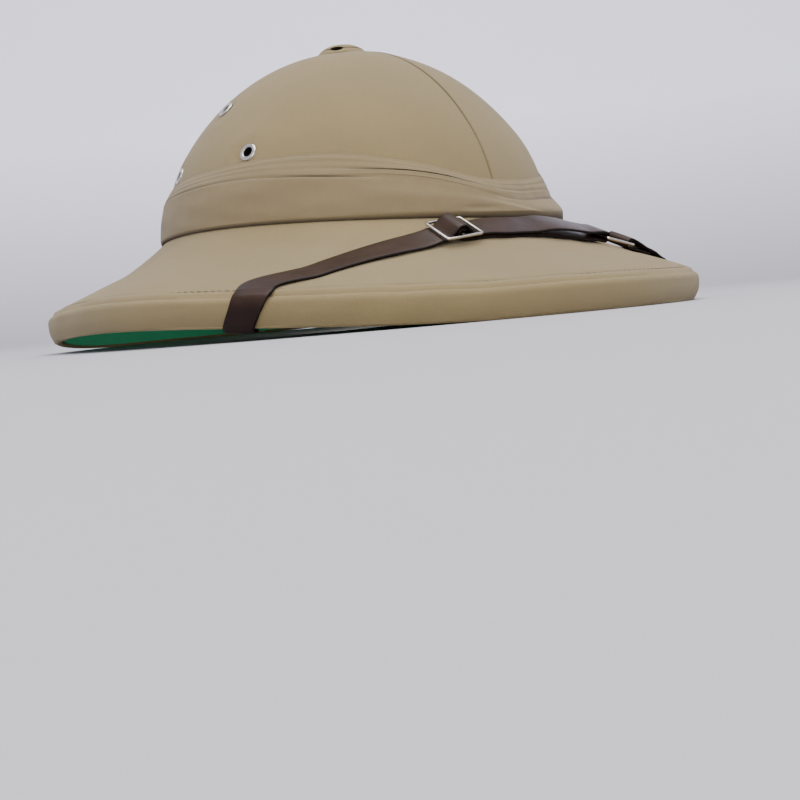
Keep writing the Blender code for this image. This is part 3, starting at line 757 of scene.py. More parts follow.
def shaded(colour, share):
    """A colour made darker or lighter."""
    return tuple(min(value * share, 1.0) for value in colour[:3]) + (1.0,)


def cotton(name, colour, thread, depth):
    """Plain woven cotton: crossing threads, uneven yarns, faint mottling, and painted shade that darkens it
    where the crease mark is set.
    """
    finish = Finish(name, Sheen_Weight=0.12, Sheen_Roughness=0.5, Specular_IOR_Level=0.25)
    uv = finish.node("ShaderNodeUVMap", settings={"uv_map": "weave"})
    warp, weft = (finish.node("ShaderNodeSeparateXYZ", out=axis, _0=uv) for axis in (0, 1))
    half_pitch = TURN / 2 / thread
    over = (warp * half_pitch).sine() * (weft * half_pitch).sine()
    threads = (warp * (2 * half_pitch)).sine().size() + (weft * (2 * half_pitch)).sine().size()
    slubs = finish.noise(1.0, 2.0, finish.stretched((1900, 130, 1), uv))
    picks = finish.noise(1.0, 2.0, finish.stretched((130, 1900, 1), uv))
    mottle = finish.noise(28.0, 4.0)
    broad = finish.noise(7.0, 2.0)
    crease = finish.mark("crease")
    yarns = (slubs - 0.5) * 0.35 + (picks - 0.5) * 0.35
    tone = yarns + (mottle - 0.5) * 0.6 + (broad - 0.5) * 0.5 + 0.5
    base = finish.blend(tone.held(), shaded(colour, 0.86), shaded(colour, 1.12))
    base = finish.blend(over.size() * 0.10, base, shaded(colour, 0.70))
    # Painted shade: the crease mark darkens seams, fold tucks, gaps and slits, where shade falls.
    base = finish.blend((crease * 0.92).held(), base, shaded(colour, 0.16))
    finish.feed("Base Color", base)
    finish.feed("Roughness", ((mottle - 0.5) * 0.12 + 0.88).held())
    height = over * 0.35 + threads * 0.25 + (slubs + picks) * 0.5
    weave = finish.bump(height, depth)
    soft = finish.bump(finish.noise(220.0, 3.0), 0.00025, 0.5, weave)
    finish.feed("Normal", soft)
    return finish.material


def strap_leather(name, colour):
    """Smooth finished leather: fine grain, uneven shine and tone, and painted shade that makes it darker and
    redder low down on the rim and dark on its cut edges.
    """
    finish = Finish(name, Coat_Roughness=0.2, Specular_IOR_Level=0.13)
    grid = {"feature": "F1"}
    cells = finish.node("ShaderNodeTexVoronoi", settings=grid, Vector=finish.place(), Scale=1300.0)
    cracks = finish.noise(900.0, 4.0)
    patches = finish.noise(90.0, 4.0)
    edge = finish.mark("edge")
    # Painted shade: from a height of about 17.5 mm down to 12.5 mm, where the strap wraps the rim, it turns
    # darker and redder.
    height = finish.node("ShaderNodeSeparateXYZ", out=2, _0=finish.place())
    low = ((height - 0.0175) * (-1 / 0.005)).held()
    tone = ((patches - 0.5) * 1.4 + 0.5).held()
    base = finish.blend(tone, shaded(colour, 0.65), shaded(colour, 1.45))
    base = finish.blend(low * 0.75, base, (colour[0] * 0.30, colour[1] * 0.16, colour[2] * 0.24, 1.0))
    # Painted shade on the strap's cut edges.
    base = finish.blend((edge * 0.95).held(), base, shaded(colour, 0.22))
    finish.feed("Base Color", base)
    finish.feed("Roughness", ((patches - 0.5) * 0.3 + cracks * 0.12 + edge * 0.25 + 0.34).held())
    finish.feed("Coat Weight", (0.07 - edge * 0.07).held())
    grain = finish.bump(cells * 0.6 + cracks * 0.6, 0.00008, 0.8)
    finish.feed("Normal", finish.bump(finish.noise(140.0, 2.0), 0.0004, 0.35, grain))
    return finish.material


def plated(name, colour, roughness):
    """Nickel plate with fine rubbing marks, matt spots, and a crease mark for tarnish in the eyelets' corners
    and painted shade on the slider's middle bar.
    """
    finish = Finish(name, Metallic=1.0)
    rubs = finish.noise(1.0, 4.0, finish.stretched((300, 300, 2200)))
    spots = finish.noise(420.0, 5.0)
    tarnish = finish.mark("crease")
    base = finish.blend((spots * 1.6 - 0.75).held(), (*colour[:3], 1.0), shaded(colour, 0.6))
    # The crease mark darkens the plate: real tarnish round the eyelets' holes and seats, painted shade on the
    # slider's middle bar.
    base = finish.blend(tarnish.held(), base, shaded(colour, 0.12))
    finish.feed("Base Color", base)
    finish.feed("Roughness", (rubs * 0.12 + (spots - 0.5) * 0.15 + tarnish * 0.3 + roughness).held())
    finish.feed("Normal", finish.bump(rubs, 0.00003, 0.5))
    return finish.material


def sewing_thread(name, colour):
    """Twisted cotton thread."""
    finish = Finish(name, Sheen_Weight=0.2)
    strands = finish.noise(1800.0, 2.0)
    finish.feed("Base Color", finish.blend(strands, shaded(colour, 0.75), shaded(colour, 1.2)))
    finish.feed("Roughness", (strands * 0.2 + 0.7).held())
    finish.feed("Normal", finish.bump(strands, 0.0001, 0.6))
    return finish.material


def paper(name, floor, wall):
    """The plain stage: a pale floor that turns into a paler wall."""
    finish = Finish(name, Specular_IOR_Level=0.1)
    grain = finish.noise(3.0, 3.0)
    height = finish.node("ShaderNodeSeparateXYZ", out=2, _0=finish.place())
    base = finish.blend((height * 2.0).held(), (*floor[:3], 1.0), (*wall[:3], 1.0))
    finish.feed("Base Color", finish.blend(grain * 0.04, base, shaded(floor, 0.8)))
    finish.feed("Roughness", (grain * 0.05 + 0.9).held())
    return finish.material


def colours():
    return bpy.context.scene.helmet_colours


def sizes():
    return bpy.context.scene.helmet_sizes


def made(key, make):
    """A material by its name, made the first time that it is asked for."""
    return bpy.data.materials.get(key) or make(key)


def khaki():
    return made("khaki cotton", lambda key: cotton(key, colours().khaki, sizes().thread, 0.00012))


def khaki_band():
    return made("khaki band cotton", lambda key: cotton(key, colours().band, sizes().thread * 0.9, 0.00010))


def green():
    return made("green cotton", lambda key: cotton(key, colours().lining, sizes().thread, 0.00012))


def leather():
    return made("dark strap leather", lambda key: strap_leather(key, colours().strap))


def nickel():
    return made("nickel plate", lambda key: plated(key, colours().metal, 0.14))


def thread():
    return made("khaki thread", lambda key: sewing_thread(key, colours().thread))


# Cloth pieces


def crown_marks(angles, share, radius):
    """How far the crown's cloth stands out over its plain form, and how much painted shade darkens its seams
    and the cloth at each eyelet's flange.
    """
    out = CROWN_UNEVENNESS * ripple(3, (angles, 9), (share, 14))
    crease = np.zeros(np.broadcast(angles, share).shape)
    width = SEAM_HALF_WIDTH * (1 + 0.25 * eased((share - 0.4) / 0.3))
    for degrees, groove, lap, dark_low, dark_high in CROWN_SEAMS:
        distance = turned_away(angles, degrees) * radius
        fade = mixed(1.0, eased((SEAM_END - share) / SEAM_END_RUN), float(dark_high == 0.0))
        lapped = eased(1 + distance / LAP_WIDTH) * (distance < SEAM_HALF_WIDTH * 0.5)
        out = out - groove * (bell(distance, SEAM_HALF_WIDTH) * fade) + lap * lapped * fade
        # Painted shade in the seam's crevice.
        dark = mixed(dark_low, dark_high, eased((share - 0.25) / 0.4))
        crease = np.maximum(crease, bell(distance, width) * fade * dark)
    dent, dent_width = EYELET_DENT
    swell, ring, swell_width = EYELET_SWELL
    for _, degrees, height in EYELETS:
        for side in (1, -1):
            away = turned_away(angles, side * degrees)
            rise = (share - height / CROWN_HEIGHT) * CROWN_HEIGHT
            distance = np.hypot(away * radius, rise * 1.05)
            out = out - dent * bell(distance, dent_width) + swell * bell(distance - ring, swell_width)
            # Painted shade on the cloth at the edge of each eyelet's flange.
            crease = np.maximum(crease, 0.35 * bell(distance - EYELET_FLANGE_RADIUS, 0.0007))
    return out, crease


def build_crown():
    """The crown's shell with its panels' seams and its eyelet holes."""
    top = crown_share_at(VENT_HOLE_RADIUS / CROWN_HALF_LENGTH)
    inner_top = crown_share_at(VENT_HOLE_RADIUS / (CROWN_HALF_LENGTH - SHELL))
    spread = (0.12, 0.25, 0.4, 0.6, 0.85, 1.1)
    seams = [row[0] for row in CROWN_SEAMS]
    angles = fine_angles(240, seams, spread)
    turns = angles[:, None]
    outer = np.sin(math.asin(top) * np.linspace(0, 1, 84))[None, :]
    inner = np.sin(math.asin(inner_top) * np.linspace(1, 0, 26))[None, :]
    foot = under_height(turns, 0, SHELL)

    def grid(share, inset):
        half_length, half_width, z = crown_row(turns, share, inset)
        if inset:
            half_length[:, 0] = half_width[:, 0] = VENT_HOLE_RADIUS
        else:
            half_length[:, -1] = half_width[:, -1] = VENT_HOLE_RADIUS
        x, y = oval(half_length, half_width, turns)
        return np.stack(np.broadcast_arrays(x, y, z), -1)

    def foot_ring(ring):
        ring = ring.copy()
        ring[:, :, 2] = foot
        return ring

    outside = grid(outer + 0 * turns, 0.0)
    out, crease = crown_marks(turns, outer, np.hypot(outside[..., 0], outside[..., 1]))
    fade = eased(outer / 0.02) * eased((top - outer) / 0.004)
    normals = grid_normals(outside, True, False)
    normals *= np.sign(normals[..., :1] * outside[..., :1] + normals[..., 1:2] * outside[..., 1:2])
    outside = outside + normals * (out * fade)[..., None]
    inside = grid(inner + 0 * turns, SHELL)
    points = np.concatenate([foot_ring(outside[:, :1]), outside, inside, foot_ring(inside[:, -1:])], axis=1)
    blank = np.zeros((len(angles), 1))
    marks = np.concatenate([blank, crease, np.zeros(inside.shape[:2]), blank], axis=1)
    centres = [(a + b) / 2 for a, b in zip(seams, seams[1:] + [seams[0] + 360])]
    weave = cloth_places(points, angles, centres)
    shell = add_grid("crown_cloth", points, weave, {"crease": marks}, material=khaki())
    cutters = []
    bore, half = EYELET_BARREL_RADIUS + GAP, 3 * SHELL
    for _, point, normal in eyelet_places():
        profile = ((0, -half), (bore, -half), (bore, half), (0, half))
        drill = turned("drill", profile, 24, None, closed=False)
        cutters.append(stand(drill, point, normal))
    cut(shell, cutters)
    shell.data.set_sharp_from_angle(angle=math.radians(50))
    return shell


def eyelet_places():
    """Name, middle and outward direction of each eyelet, where the part has it."""
    places = []
    for side, turn in (("right", 1), ("left", -1)):
        for place, degrees, _ in EYELETS:
            node = f"eyelet_{place}_{side}"
            low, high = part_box(node)
            middle = (low + high) / 2
            angle = turn * math.radians(degrees)
            share = nearest_share(angle, middle.z)
            point = crown_point(angle, share)
            step = 0.01
            around = crown_point(angle + step, share) - crown_point(angle - step, share)
            up = crown_point(angle, share + step) - crown_point(angle, share - step)
            normal = around.cross(up).normalized()
            normal = normal if normal.dot(point) > 0 else -normal
            depth = (middle - point).dot(normal)
            places.append((node, middle - normal * depth, normal))
    return places


def nearest_share(angle, height):
    shares = np.linspace(0.2, 0.95, 400)
    return float(shares[np.argmin(np.abs(crown_row(angle, shares)[2] - height))])


def build_brim():
    """The brim and its rim in one cloth-covered shell, with the stitched line near the crease."""
    rings = Rings(even_angles(400))
    turns = rings.turns
    rise = rim_rise(turns)
    rounded = 1 - RIM_ROUNDING / brim_run(turns)
    stitch = sizes().stitch_share
    near_stitch = stitch + np.linspace(-0.012, 0.012, 9)
    for way in np.unique(np.concatenate([np.linspace(0, 1, 60), near_stitch])):
        share = way * rounded
        along = (way - stitch) * 0.058
        dip = bell(along, 0.0006)
        puff = STITCH_PUFF * bell(np.abs(along) - 0.0022, 0.0012)
        z = brim_height(turns, share) - STITCH_DIP * dip + puff
        # Painted shade in the dip of the stitched line, and on the brim beside the puggaree's foot.
        rings.add(*brim_axes(share), z, 0.16 * dip + 0.5 * bell(way, 0.006))
    for t in np.arange(1, 8) / 8:
        drop = RIM_ROUNDING * t**2 + 0.15 * RIM_ROUNDING * (1 - t) * t
        rings.add_edge(RIM_ROUNDING * (1 - t) ** 2, rise + RIM_HEIGHT - drop)
    for way in np.linspace(0, 1, 16):
        inset = RIM_LEAN * way - RIM_BULGE * math.sin(way * math.pi)
        rings.add_edge(inset, rise + mixed(RIM_HEIGHT - RIM_ROUNDING, EDGE_ROUNDING, way))
    outer_rings = len(rings.grids[0])
    for side, start, quarters in (
        (1, RIM_LEAN, np.arange(1, 6) / 6),
        (-1, RIM_LEAN + SHELL, 1 - np.arange(0, 6) / 5),
    ):
        for turn in quarters * TURN / 4:
            inset = start + side * EDGE_ROUNDING * (1 - math.cos(turn))
            rings.add_edge(inset, rise + EDGE_ROUNDING * (1 - math.sin(turn)))
    rings.add_under(SHELL, np.linspace(1, 0, 20))
    points = rings.points()
    order = np.arange(points.shape[1])[None, :]
    broad, fine = BRIM_UNEVENNESS
    wave = broad * ripple(11, (turns, 11)) + fine * ripple(12, (turns, 40), (order / 9.0, 3))
    outer = (order < outer_rings) * eased(order / 12.0)
    normals = grid_normals(points, True, True)
    facing = np.sign(normals[:, 30:31, 2:3])
    points = points + normals * facing * (wave * outer)[..., None]
    weave = cloth_places(points, rings.angles, (45, 135, 225, 315))
    shell = add_grid("brim_cloth", points, weave, {"crease": rings.dark()}, material=khaki())
    shell.data.set_sharp_from_angle(angle=math.radians(50))
    return shell


def build_lining():
    """The green cloth under the brim, turned down the inside of the rim."""
    rings = Rings(even_angles(300))
    turns = rings.turns
    rise = rim_rise(turns)
    upper = SHELL + GAP
    lower = upper + LINING
    inner = crown_row(turns, 0.0, inset=SHELL)[:2]
    rings.add(*inner, under_height(turns, 0, upper))
    rings.add_under(upper, np.linspace(0, 1, 18))
    for depth in (upper, (upper + lower) / 2, lower):
        rings.add_edge(RIM_LEAN + depth, rise + LINING_HEM)
    for way in (0.25, 0.5, 0.75):
        rings.add_edge(RIM_LEAN * (1 - way) + lower, rise + mixed(LINING_HEM, RIM_HEIGHT - lower, way))
    rings.add_under(lower, np.linspace(1, 0, 18))
    rings.add(*inner, under_height(turns, 0, lower))
    points = rings.points()
    weave = cloth_places(points, rings.angles, (0, 90, 180, 270))
    shell = add_grid("brim_lining_cloth", points, weave, material=green())
    shell.data.set_sharp_from_angle(angle=math.radians(50))
    return shell


def fitted(room, limits):
    """A height that is at most the first limit and at most a share of the room."""
    most, share = limits
    return np.minimum(most, room * share)


def band_laps(turns):
    """Heights, walls and painted shade of the puggaree's section: four laps, each with its edge over the
    next.
    """
    columns = ([], [], [])
    lines = [0 * turns] + [table_value(FOLD_SHARES, k, turns) * BAND_HEIGHT for k in (1, 2, 3, 4)]
    crisp = [np.clip(table_value(FOLD_CRISPNESS, k, turns), 0, 1) for k in (1, 2, 3, 4)]
    layers = [BAND_CLOTH * share for share in LAP_SHARES]
    layers.append(layers[-1] * TOP_LAP_REST)

    def add(*values):
        for column, value in zip(columns, values):
            column.append(np.broadcast_to(value, turns.shape).astype(float))

    # Painted shade along the foot, in the gap over the brim.
    for rise, back, dark in BAND_FOOT:
        add(rise, layers[0] - back, dark)
    for k in range(4):
        low, high = lines[k], lines[k + 1]
        room = high - low
        above = lines[k + 2] - high if k < 3 else 0 * turns + TOP_ROOM
        soft, hard = fitted(room, SOFT_ROOM), fitted(room, CRISP_ROOM)
        start = mixed(soft, hard, crisp[k - 1]) if k else 0.0008
        end = mixed(soft, hard, crisp[k])
        for way in np.linspace(0, 1, 7 if k else 14):
            swell = 0.00015 * np.sin(way * math.pi) * crisp[k] * (1 if k else 0.3)
            add(mixed(low + start, high - end, way), layers[k] + swell, 0.0)
        for crisp_rise, soft_rise, crisp_drop, soft_drop, dark in FOLD_EDGE:
            rise = crisp_rise * fitted(room, TUCK_ROOM) if crisp_rise <= -0.5 else crisp_rise
            spread = soft_rise * fitted(room if soft_rise < 0 else above, SOFT_ROOM)
            drop = mixed(soft_drop, crisp_drop, crisp[k]) * (layers[k] - layers[k + 1])
            # Painted shade in the tuck under a fold's edge, strongest where the edge is crisp.
            add(high + mixed(spread, rise, crisp[k]), layers[k] - drop, dark * crisp[k] ** 2)
    for way in np.linspace(1, 0, 8):
        add(lines[4] * way, 0.0, 0.0)
    return (np.concatenate(column, axis=1) for column in columns)


def band_relief(turns, height):
    """How far the puggaree's outside stands out: its swell, a dent, its unevenness and its flared foot."""
    edge, stands, soft = (table_value(SWELL, column, turns) for column in (1, 2, 3))
    swelling = stands * (1 - eased((height - edge) / (2 * soft) + 0.5)) * eased(height / 0.001)
    away = turned_away(turns, 0)
    dent = 0.0006 * bell(away - math.radians(8), math.radians(5)) * bell(height - 0.0028, 0.0012)
    uneven = 0.00022 * ripple(21, (turns, 17), (height / 0.0035, 2)) * eased(height / 0.002)
    pull = 0.00014 * np.sin(turns * 46 + 3 * ripple(22, (turns, 7))) * bell(height - 0.010, 0.006)
    flare = table_value(FLARE, 1, turns) * (1 - eased(height / FLARE_HEIGHT))
    return swelling - dent + uneven + pull + flare


def build_band():
    """The puggaree round the crown's foot."""
    angles = even_angles(480)
    turns = angles[:, None]
    height, wall, dark = band_laps(turns)
    outside = (wall > 0.0002).astype(float)
    wall = wall + outside * band_relief(turns, height)
    half_length, half_width, z = crown_row(turns, height / CROWN_HEIGHT)
    half_length = half_length + GAP + wall
    half_width = half_width + GAP + wall
    foot_share = (half_length[:, :1] - INNER_HALF_LENGTH) / (BRIM_HALF_LENGTH - INNER_HALF_LENGTH)
    z[:, :1] = brim_height(turns, foot_share) + GAP
    z[:, -1:] = brim_height(turns, 0 * foot_share) + GAP
    x, y = oval(half_length, half_width, turns)
    points = np.stack([x, y, z], -1)
    weave = cloth_places(points, angles, (30, 90, 150, 210, 270, 330))
    return add_grid("puggaree_folds", points, weave, {"crease": dark}, material=khaki_band())


def vent_piece(name, rings, wrap, node):
    dark = {"crease": rings.dark()}
    piece = add_grid(name, rings.points(), marks=dark, wrap_section=wrap, material=khaki())
    weld(piece.data)
    cloth_uv(piece)
    piece.data.set_sharp_from_angle(angle=math.radians(60))
    hand_over(piece, "khaki", node)


def build_vent():
    """The vent button: a low cloth dome on a collar with three lens-shaped air slits, and its steel stem."""
    collar_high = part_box("vent_collar")[1]
    cap_low, cap_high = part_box("vent_cap")
    outer, inner, seat = collar_high.x, VENT_HOLE_RADIUS, collar_high.z
    rings = Rings(even_angles(180))
    turns = rings.turns
    slit = np.zeros(turns.shape)
    for place in VENT_SLIT_PLACES:
        across = turned_away(turns, place) * outer / (VENT_SLIT_LENGTH / 2)
        slit = np.maximum(slit, 1 - across**2)
    slit = np.clip(slit, 0, 1) ** 0.7 * VENT_SLIT_HEIGHT
    # Painted shade in the air slits: on the collar's top and the cap's underside, where the slits open.
    shade = np.clip(slit / VENT_SLIT_HEIGHT * 3, 0, 1)
    wide = outer + VENT_FLARE
    foot = crown_top_height(wide) + GAP
    rise = cap_high.z + VENT_DOME_RISE - foot
    collar_top = seat - slit * 0.8

    def dome_radius(height):
        return wide * (1 - (height - foot) / rise) ** (1 / 3)

    for way in np.linspace(0, 1, 12):
        radius = dome_radius(mixed(foot, seat, way))
        # Painted shade low on the collar, where it meets the crown.
        rings.add_round(radius, mixed(foot, collar_top, way), 0.1 * float(bell(way, 0.12)))
    waist = dome_radius(seat)
    for radius in (waist - 0.0004, mixed(waist, inner, 0.5), inner):
        rings.add_round(radius, collar_top, shade)
    for way in (0, 0.35, 0.7):
        radius = mixed(inner, wide, way)
        rings.add_round(radius, crown_top_height(radius) + GAP)
    vent_piece("vent_collar_cloth", rings, True, "vent_collar")
    rim = dome_radius(cap_low.z)
    rings = Rings(rings.angles)
    rings.add_round(0, cap_low.z)
    rings.add_round(rim * 0.6, cap_low.z + slit * 0.2, shade)
    rings.add_round(rim - 0.0008, cap_low.z + slit * 0.25, shade)
    lift = slit * 0.4
    for step in range(4):
        turn = step / 3 * TURN / 4
        radius = rim - VENT_EDGE * (1 - math.sin(turn))
        height = VENT_EDGE * 0.6 * (1 - math.cos(turn))
        rings.add_round(radius, cap_low.z + lift + height, shade * max(1 - step / 2, 0))
    for way in np.linspace(0.1, 1, 24):
        share = (rim / wide) * math.cos(way * TURN / 4)
        height = np.maximum(foot + rise * (1 - share**3), cap_low.z + VENT_EDGE)
        rings.add_round(wide * share, height + lift * (1 - eased(way * 2.5)))
    vent_piece("vent_cap_cloth", rings, False, "vent_cap")
    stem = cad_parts["vent_stem"]
    stem.data.materials.clear()
    stem.data.materials.append(made("stem steel", lambda key: plated(key, colours().stem, 0.34)))


def cloth_uv(piece):
    """Lays a piece's weave flat from above."""
    mesh = piece.data
    layer = mesh.uv_layers.get("weave") or mesh.uv_layers.new(name="weave")
    for loop in mesh.loops:
        x, y, z = mesh.vertices[loop.vertex_index].co
        layer.data[loop.index].uv = (x + z * 0.7, y + z * 0.7)


# Stitches


def stitch_run(name, spots, size, material):
    """Small sewn stitches at given middles, each with its own direction and outward side."""
    length, thick = size
    ends = np.linspace(-1, 1, 7)
    around = even_angles(6)
    places, faces = [], []
    for middle, along, out in spots:
        across = out.cross(along).normalized()
        base = len(places)
        for end in ends:
            radius = thick / 2 * math.sqrt(max(1 - abs(end) ** 3, 0.02))
            dip = out * (-thick * 0.8 * end * end)
            centre = middle + along * (length / 2 * end) + dip
            for turn in around:
                places.append(centre + across * (math.cos(turn) * radius) + out * (math.sin(turn) * radius))
        for row in range(len(ends) - 1):
            for k in range(6):
                a, b = base + row * 6 + k, base + row * 6 + (k + 1) % 6
                faces.append((a, b, b + 6, a + 6))
        faces.append([base + k for k in reversed(range(6))])
        faces.append([base + (len(ends) - 1) * 6 + k for k in range(6)])
    mesh = bpy.data.meshes.new(name)
    mesh.from_pydata([tuple(p) for p in places], [], faces)
    turn_outwards(mesh)
    mesh.shade_smooth()
    return add_piece(name, mesh, material)


def build_rim_stitches():
    """One row of stitches round the brim, a little inside the crease."""
    share_of = sizes().stitch_share
    angles = np.linspace(0, TURN, 4000)

    def point(angle):
        share = share_of * (1 - RIM_ROUNDING / brim_run(angle))
        return np.stack([*oval(*brim_axes(share), angle), brim_height(angle, share)], -1)

    track = point(angles)
    lengths = np.concatenate([[0], np.cumsum(np.linalg.norm(np.diff(track, axis=0), axis=1))])
    count = int(round(lengths[-1] / sizes().stitch_pitch))
    spots = []
    for k in range(count):
        angle = float(np.interp(lengths[-1] * (k + 0.5) / count, lengths, angles))
        here = Vector(point(angle))
        along = (Vector(point(angle + 0.003)) - Vector(point(angle - 0.003))).normalized()
        out = brim_normal(here.x, here.y)
        spots.append((here + out * 0.00005, along, out))
    size = (sizes().stitch_length, sizes().stitch_thickness)
    stitches = stitch_run("brim_stitches", spots, size, thread())
    hand_over(stitches, "khaki")


# Straps and their metal


def strap_end(hand):
    """Where the strap's middle line meets the crease: at the wearer's right (-1) or left (1)."""
    angle = STRAP_RIM_ANGLE if hand < 0 else STRAP_LEFT_RIM_ANGLE
    return Vector(oval(*brim_axes(1), -hand * angle))


def lay_end(hand):
    """Place along the strap where it starts to bend towards the rim."""
    return STRAP_LAY_SHARE * strap_end(hand).x


def strap_line(x):
    """Plan of the strap's middle line on the brim, from rim to rim past the crown's front."""
    front = -(CROWN_HALF_LENGTH + STRAP_STANDOFF + STRAP_WIDTH / 2)
    end = strap_end(math.copysign(1, x))
    way = x / end.x
    drift = STRAP_SIDE_DRIFT * (1 - way**2) * (SLIDER_PLACE - x) / strap_end(-1).x
    return front + (end.y - front) * way**2 - drift


def strap_across(x):
    step = 0.001
    slope = (strap_line(x + step) - strap_line(x - step)) / (2 * step)
    return Vector((-slope, 1)).normalized()


def lay(x, height, side):
    middle = Vector((x, strap_line(x)))
    edge = middle + strap_across(x) * (side * STRAP_WIDTH / 2)
    return brim_top(*edge) + brim_normal(*middle) * height


def metal_frame(place):
    """Middle and directions along, across and over the strap where it is held by metal."""
    normal = brim_normal(place, strap_line(place))
    along = lay(place + METAL_WIDTH, 0, 0) - lay(place - METAL_WIDTH, 0, 0)
    across = normal.cross(along).normalized()
    return lay(place, 0, 0), across.cross(normal), across, normal


def held(place, x, height, side):
    middle, along, across, normal = metal_frame(place)
    return middle + along * (x - place) + across * (side * STRAP_WIDTH / 2) + normal * height


def lay_station(x, height, normal):
    """The strap's four corners at a point of its middle line, with its outer face along the normal."""
    half = STRAP_THICKNESS / 2
    corners = []
    for sign, side in ((1, -1), (1, 1), (-1, 1), (-1, -1)):
        spot = (x + normal[0] * half * sign, height + normal[1] * half * sign, side)
        point = lay(*spot)
        for place, length in ((SLIDER_PLACE, SLIDER_LENGTH), (RING_PLACE, RING_LENGTH)):
            away = abs(x - place) - length / 2 - STRAP_THICKNESS
            point = point.lerp(held(place, *spot), 1 - float(eased(away / HOLD_BLEND)))
        corners.append(point)
    return corners


def path_stations(path):
    stations = []
    for i, (x, height) in enumerate(path):
        before = path[max(i - 1, 0)]
        after = path[min(i + 1, len(path) - 1)]
        along = Vector((after[0] - before[0], after[1] - before[1])).normalized()
        stations.append(lay_station(x, height, (-along.y, along.x)))
    return stations


def arc(place, height, radius, start, end, count):
    """Points of an arc round a bar, from a start to an end angle."""
    points = []
    for i in range(count):
        turn = mixed(start, end, i / (count - 1))
        points.append((place + radius * math.cos(turn), height + radius * math.sin(turn)))
    return points


def touch_angle(place, height, radius, point, hand):
    """Angle at which a straight line from a point meets an arc round a bar."""
    x, y = point[0] - place, point[1] - height
    return math.atan2(y, x) % TURN - hand * math.acos(min(radius / math.hypot(x, y), 1))


def edge_place(side, turn, way):
    """Share and angle on the brim of a strap edge, part of the way from the lay's end to the crease."""
    start = lay(lay_end(-turn), 0, side)
    share = mixed(brim_share_at(start.x, start.y)[0], 1.0, way)
    low, high = lay_end(-turn), 2 * lay_end(-turn)
    for _ in range(40):
        x = (low + high) / 2
        point = Vector((x, strap_line(x))) + strap_across(x) * (side * STRAP_WIDTH / 2)
        found, angle = brim_share_at(point.x, point.y)
        if found < share:
            low = x
        else:
            high = x
    return share, turn * angle


def wrap_track(angle, share):
    """What the strap wraps at an angle: section points with outward directions in the section."""
    half_length, half_width = brim_axes(1)
    rise = float(rim_rise(angle))
    crease = rise + RIM_HEIGHT
    slope = float(brim_slope(angle, 1))
    up = Vector((slope, 1)).normalized()
    out = Vector((RIM_HEIGHT, -RIM_LEAN)).normalized()
    down = Vector((0, -1))
    inner = tuple(float(v) for v in crown_row(angle, 0, inset=SHELL))
    mouth = float(under_height(angle, 0, SHELL + GAP + LINING))
    low = (half_length - RIM_LEAN - SHELL, half_width - RIM_LEAN - SHELL, rise)
    hidden = (inner[0], inner[1], mouth - STRAP_UNDER_SLACK)
    run = float(reach(low[0], low[1], angle) - reach(hidden[0], hidden[1], angle))
    chord = Vector((low[2] - hidden[2], -run)).normalized()
    inward = Vector((-1, 0))
    rounded = 1 - RIM_ROUNDING / float(brim_run(angle))
    inset, drop = CREASE_CORNER
    corner = (half_length - inset, half_width - inset, crease - drop)
    face = (half_length - RIM_LEAN, half_width - RIM_LEAN, rise)
    share_above = STRAP_ANCHOR_RISE / CROWN_HEIGHT
    above = tuple(float(v) for v in crown_row(angle, share_above, inset=SHELL))
    bends = [mixed(share, rounded, way) for way in STRAP_BEND_WAYS]
    under = [tuple(mixed(low[i], hidden[i], way) for i in range(3)) for way in (0.33, 0.67, 1)]
    return [
        *(((*brim_axes(at), float(brim_height(angle, at))), up) for at in bends),
        (corner, (up + out).normalized()),
        ((half_length, half_width, crease - RIM_ROUNDING), out),
        (face, out),
        (face, (out + down).normalized()),
        (face, down),
        (low, down),
        (low, (down + chord).normalized()),
        (low, chord),
        *((point, chord) for point in under),
        (hidden, (chord + inward).normalized()),
        (hidden, inward),
        (inner, inward),
        (above, inward),
    ]


def wrap_stations(turn):
    """Stations from the brim's top over the rim, under the brim and up the crown's inner face."""
    starts = {side: edge_place(side, turn, 0)[0] for side in (-1, 1)}
    middle = (edge_place(-1, turn, 1)[1] + edge_place(1, turn, 1)[1]) / 2
    rim_reach = float(reach(*brim_axes(1), middle))
    mouth_reach = float(reach(INNER_HALF_LENGTH, INNER_HALF_WIDTH, STRAP_ANCHOR_ANGLE))
    spread = STRAP_WIDTH / rim_reach
    low_angle = middle + STRAP_RIM_DRIFT
    sideways = (STRAP_ANCHOR_ANGLE - low_angle) * (rim_reach + mouth_reach) / 2
    under_slant = math.hypot(1, sideways / (rim_reach - mouth_reach))
    mouth_spread = STRAP_WIDTH * under_slant / mouth_reach
    bends = len(STRAP_BEND_WAYS)
    stations = []
    for i in range(len(wrap_track(middle, 1))):
        corners = {}
        for side in (-1, 1):
            if i < bends:
                way = STRAP_BEND_WAYS[i]
                free = edge_place(side, turn, way)[1]
                target = middle + side * spread * STRAP_RIM_SLANT / 2
                angle = mixed(free, target, float(eased(way)))
            elif i < bends + 2:
                way = (i - bends + 1) / 3
                slant = mixed(STRAP_RIM_SLANT, 1, way)
                angle = middle + (side * spread * slant + STRAP_RIM_DRIFT * way) / 2
            elif i < bends + 8:
                angle = low_angle + side * spread / 2
            elif i < bends + 11:
                way = (i - bends - 7) / 3
                centre = mixed(low_angle, STRAP_ANCHOR_ANGLE, way)
                angle = centre + side * mixed(spread, mouth_spread, way) / 2
            else:
                angle = STRAP_ANCHOR_ANGLE + side * mouth_spread / 2
            (a, b, z), out = wrap_track(turn * angle, starts[side])[i]
            for lift in (GAP, GAP + STRAP_THICKNESS):
                shift = out * lift
                spot = oval(a + shift.x, b + shift.x, turn * angle)
                corners[side, lift] = Vector((float(spot[0]), float(spot[1]), z + shift.y))
        inner, outer = GAP, GAP + STRAP_THICKNESS
        stations.append([corners[-1, outer], corners[1, outer], corners[1, inner], corners[-1, inner]])
    return stations


def ring_bar(hand):
    return RING_PLACE + hand * (RING_LENGTH - METAL_WIDTH) / 2


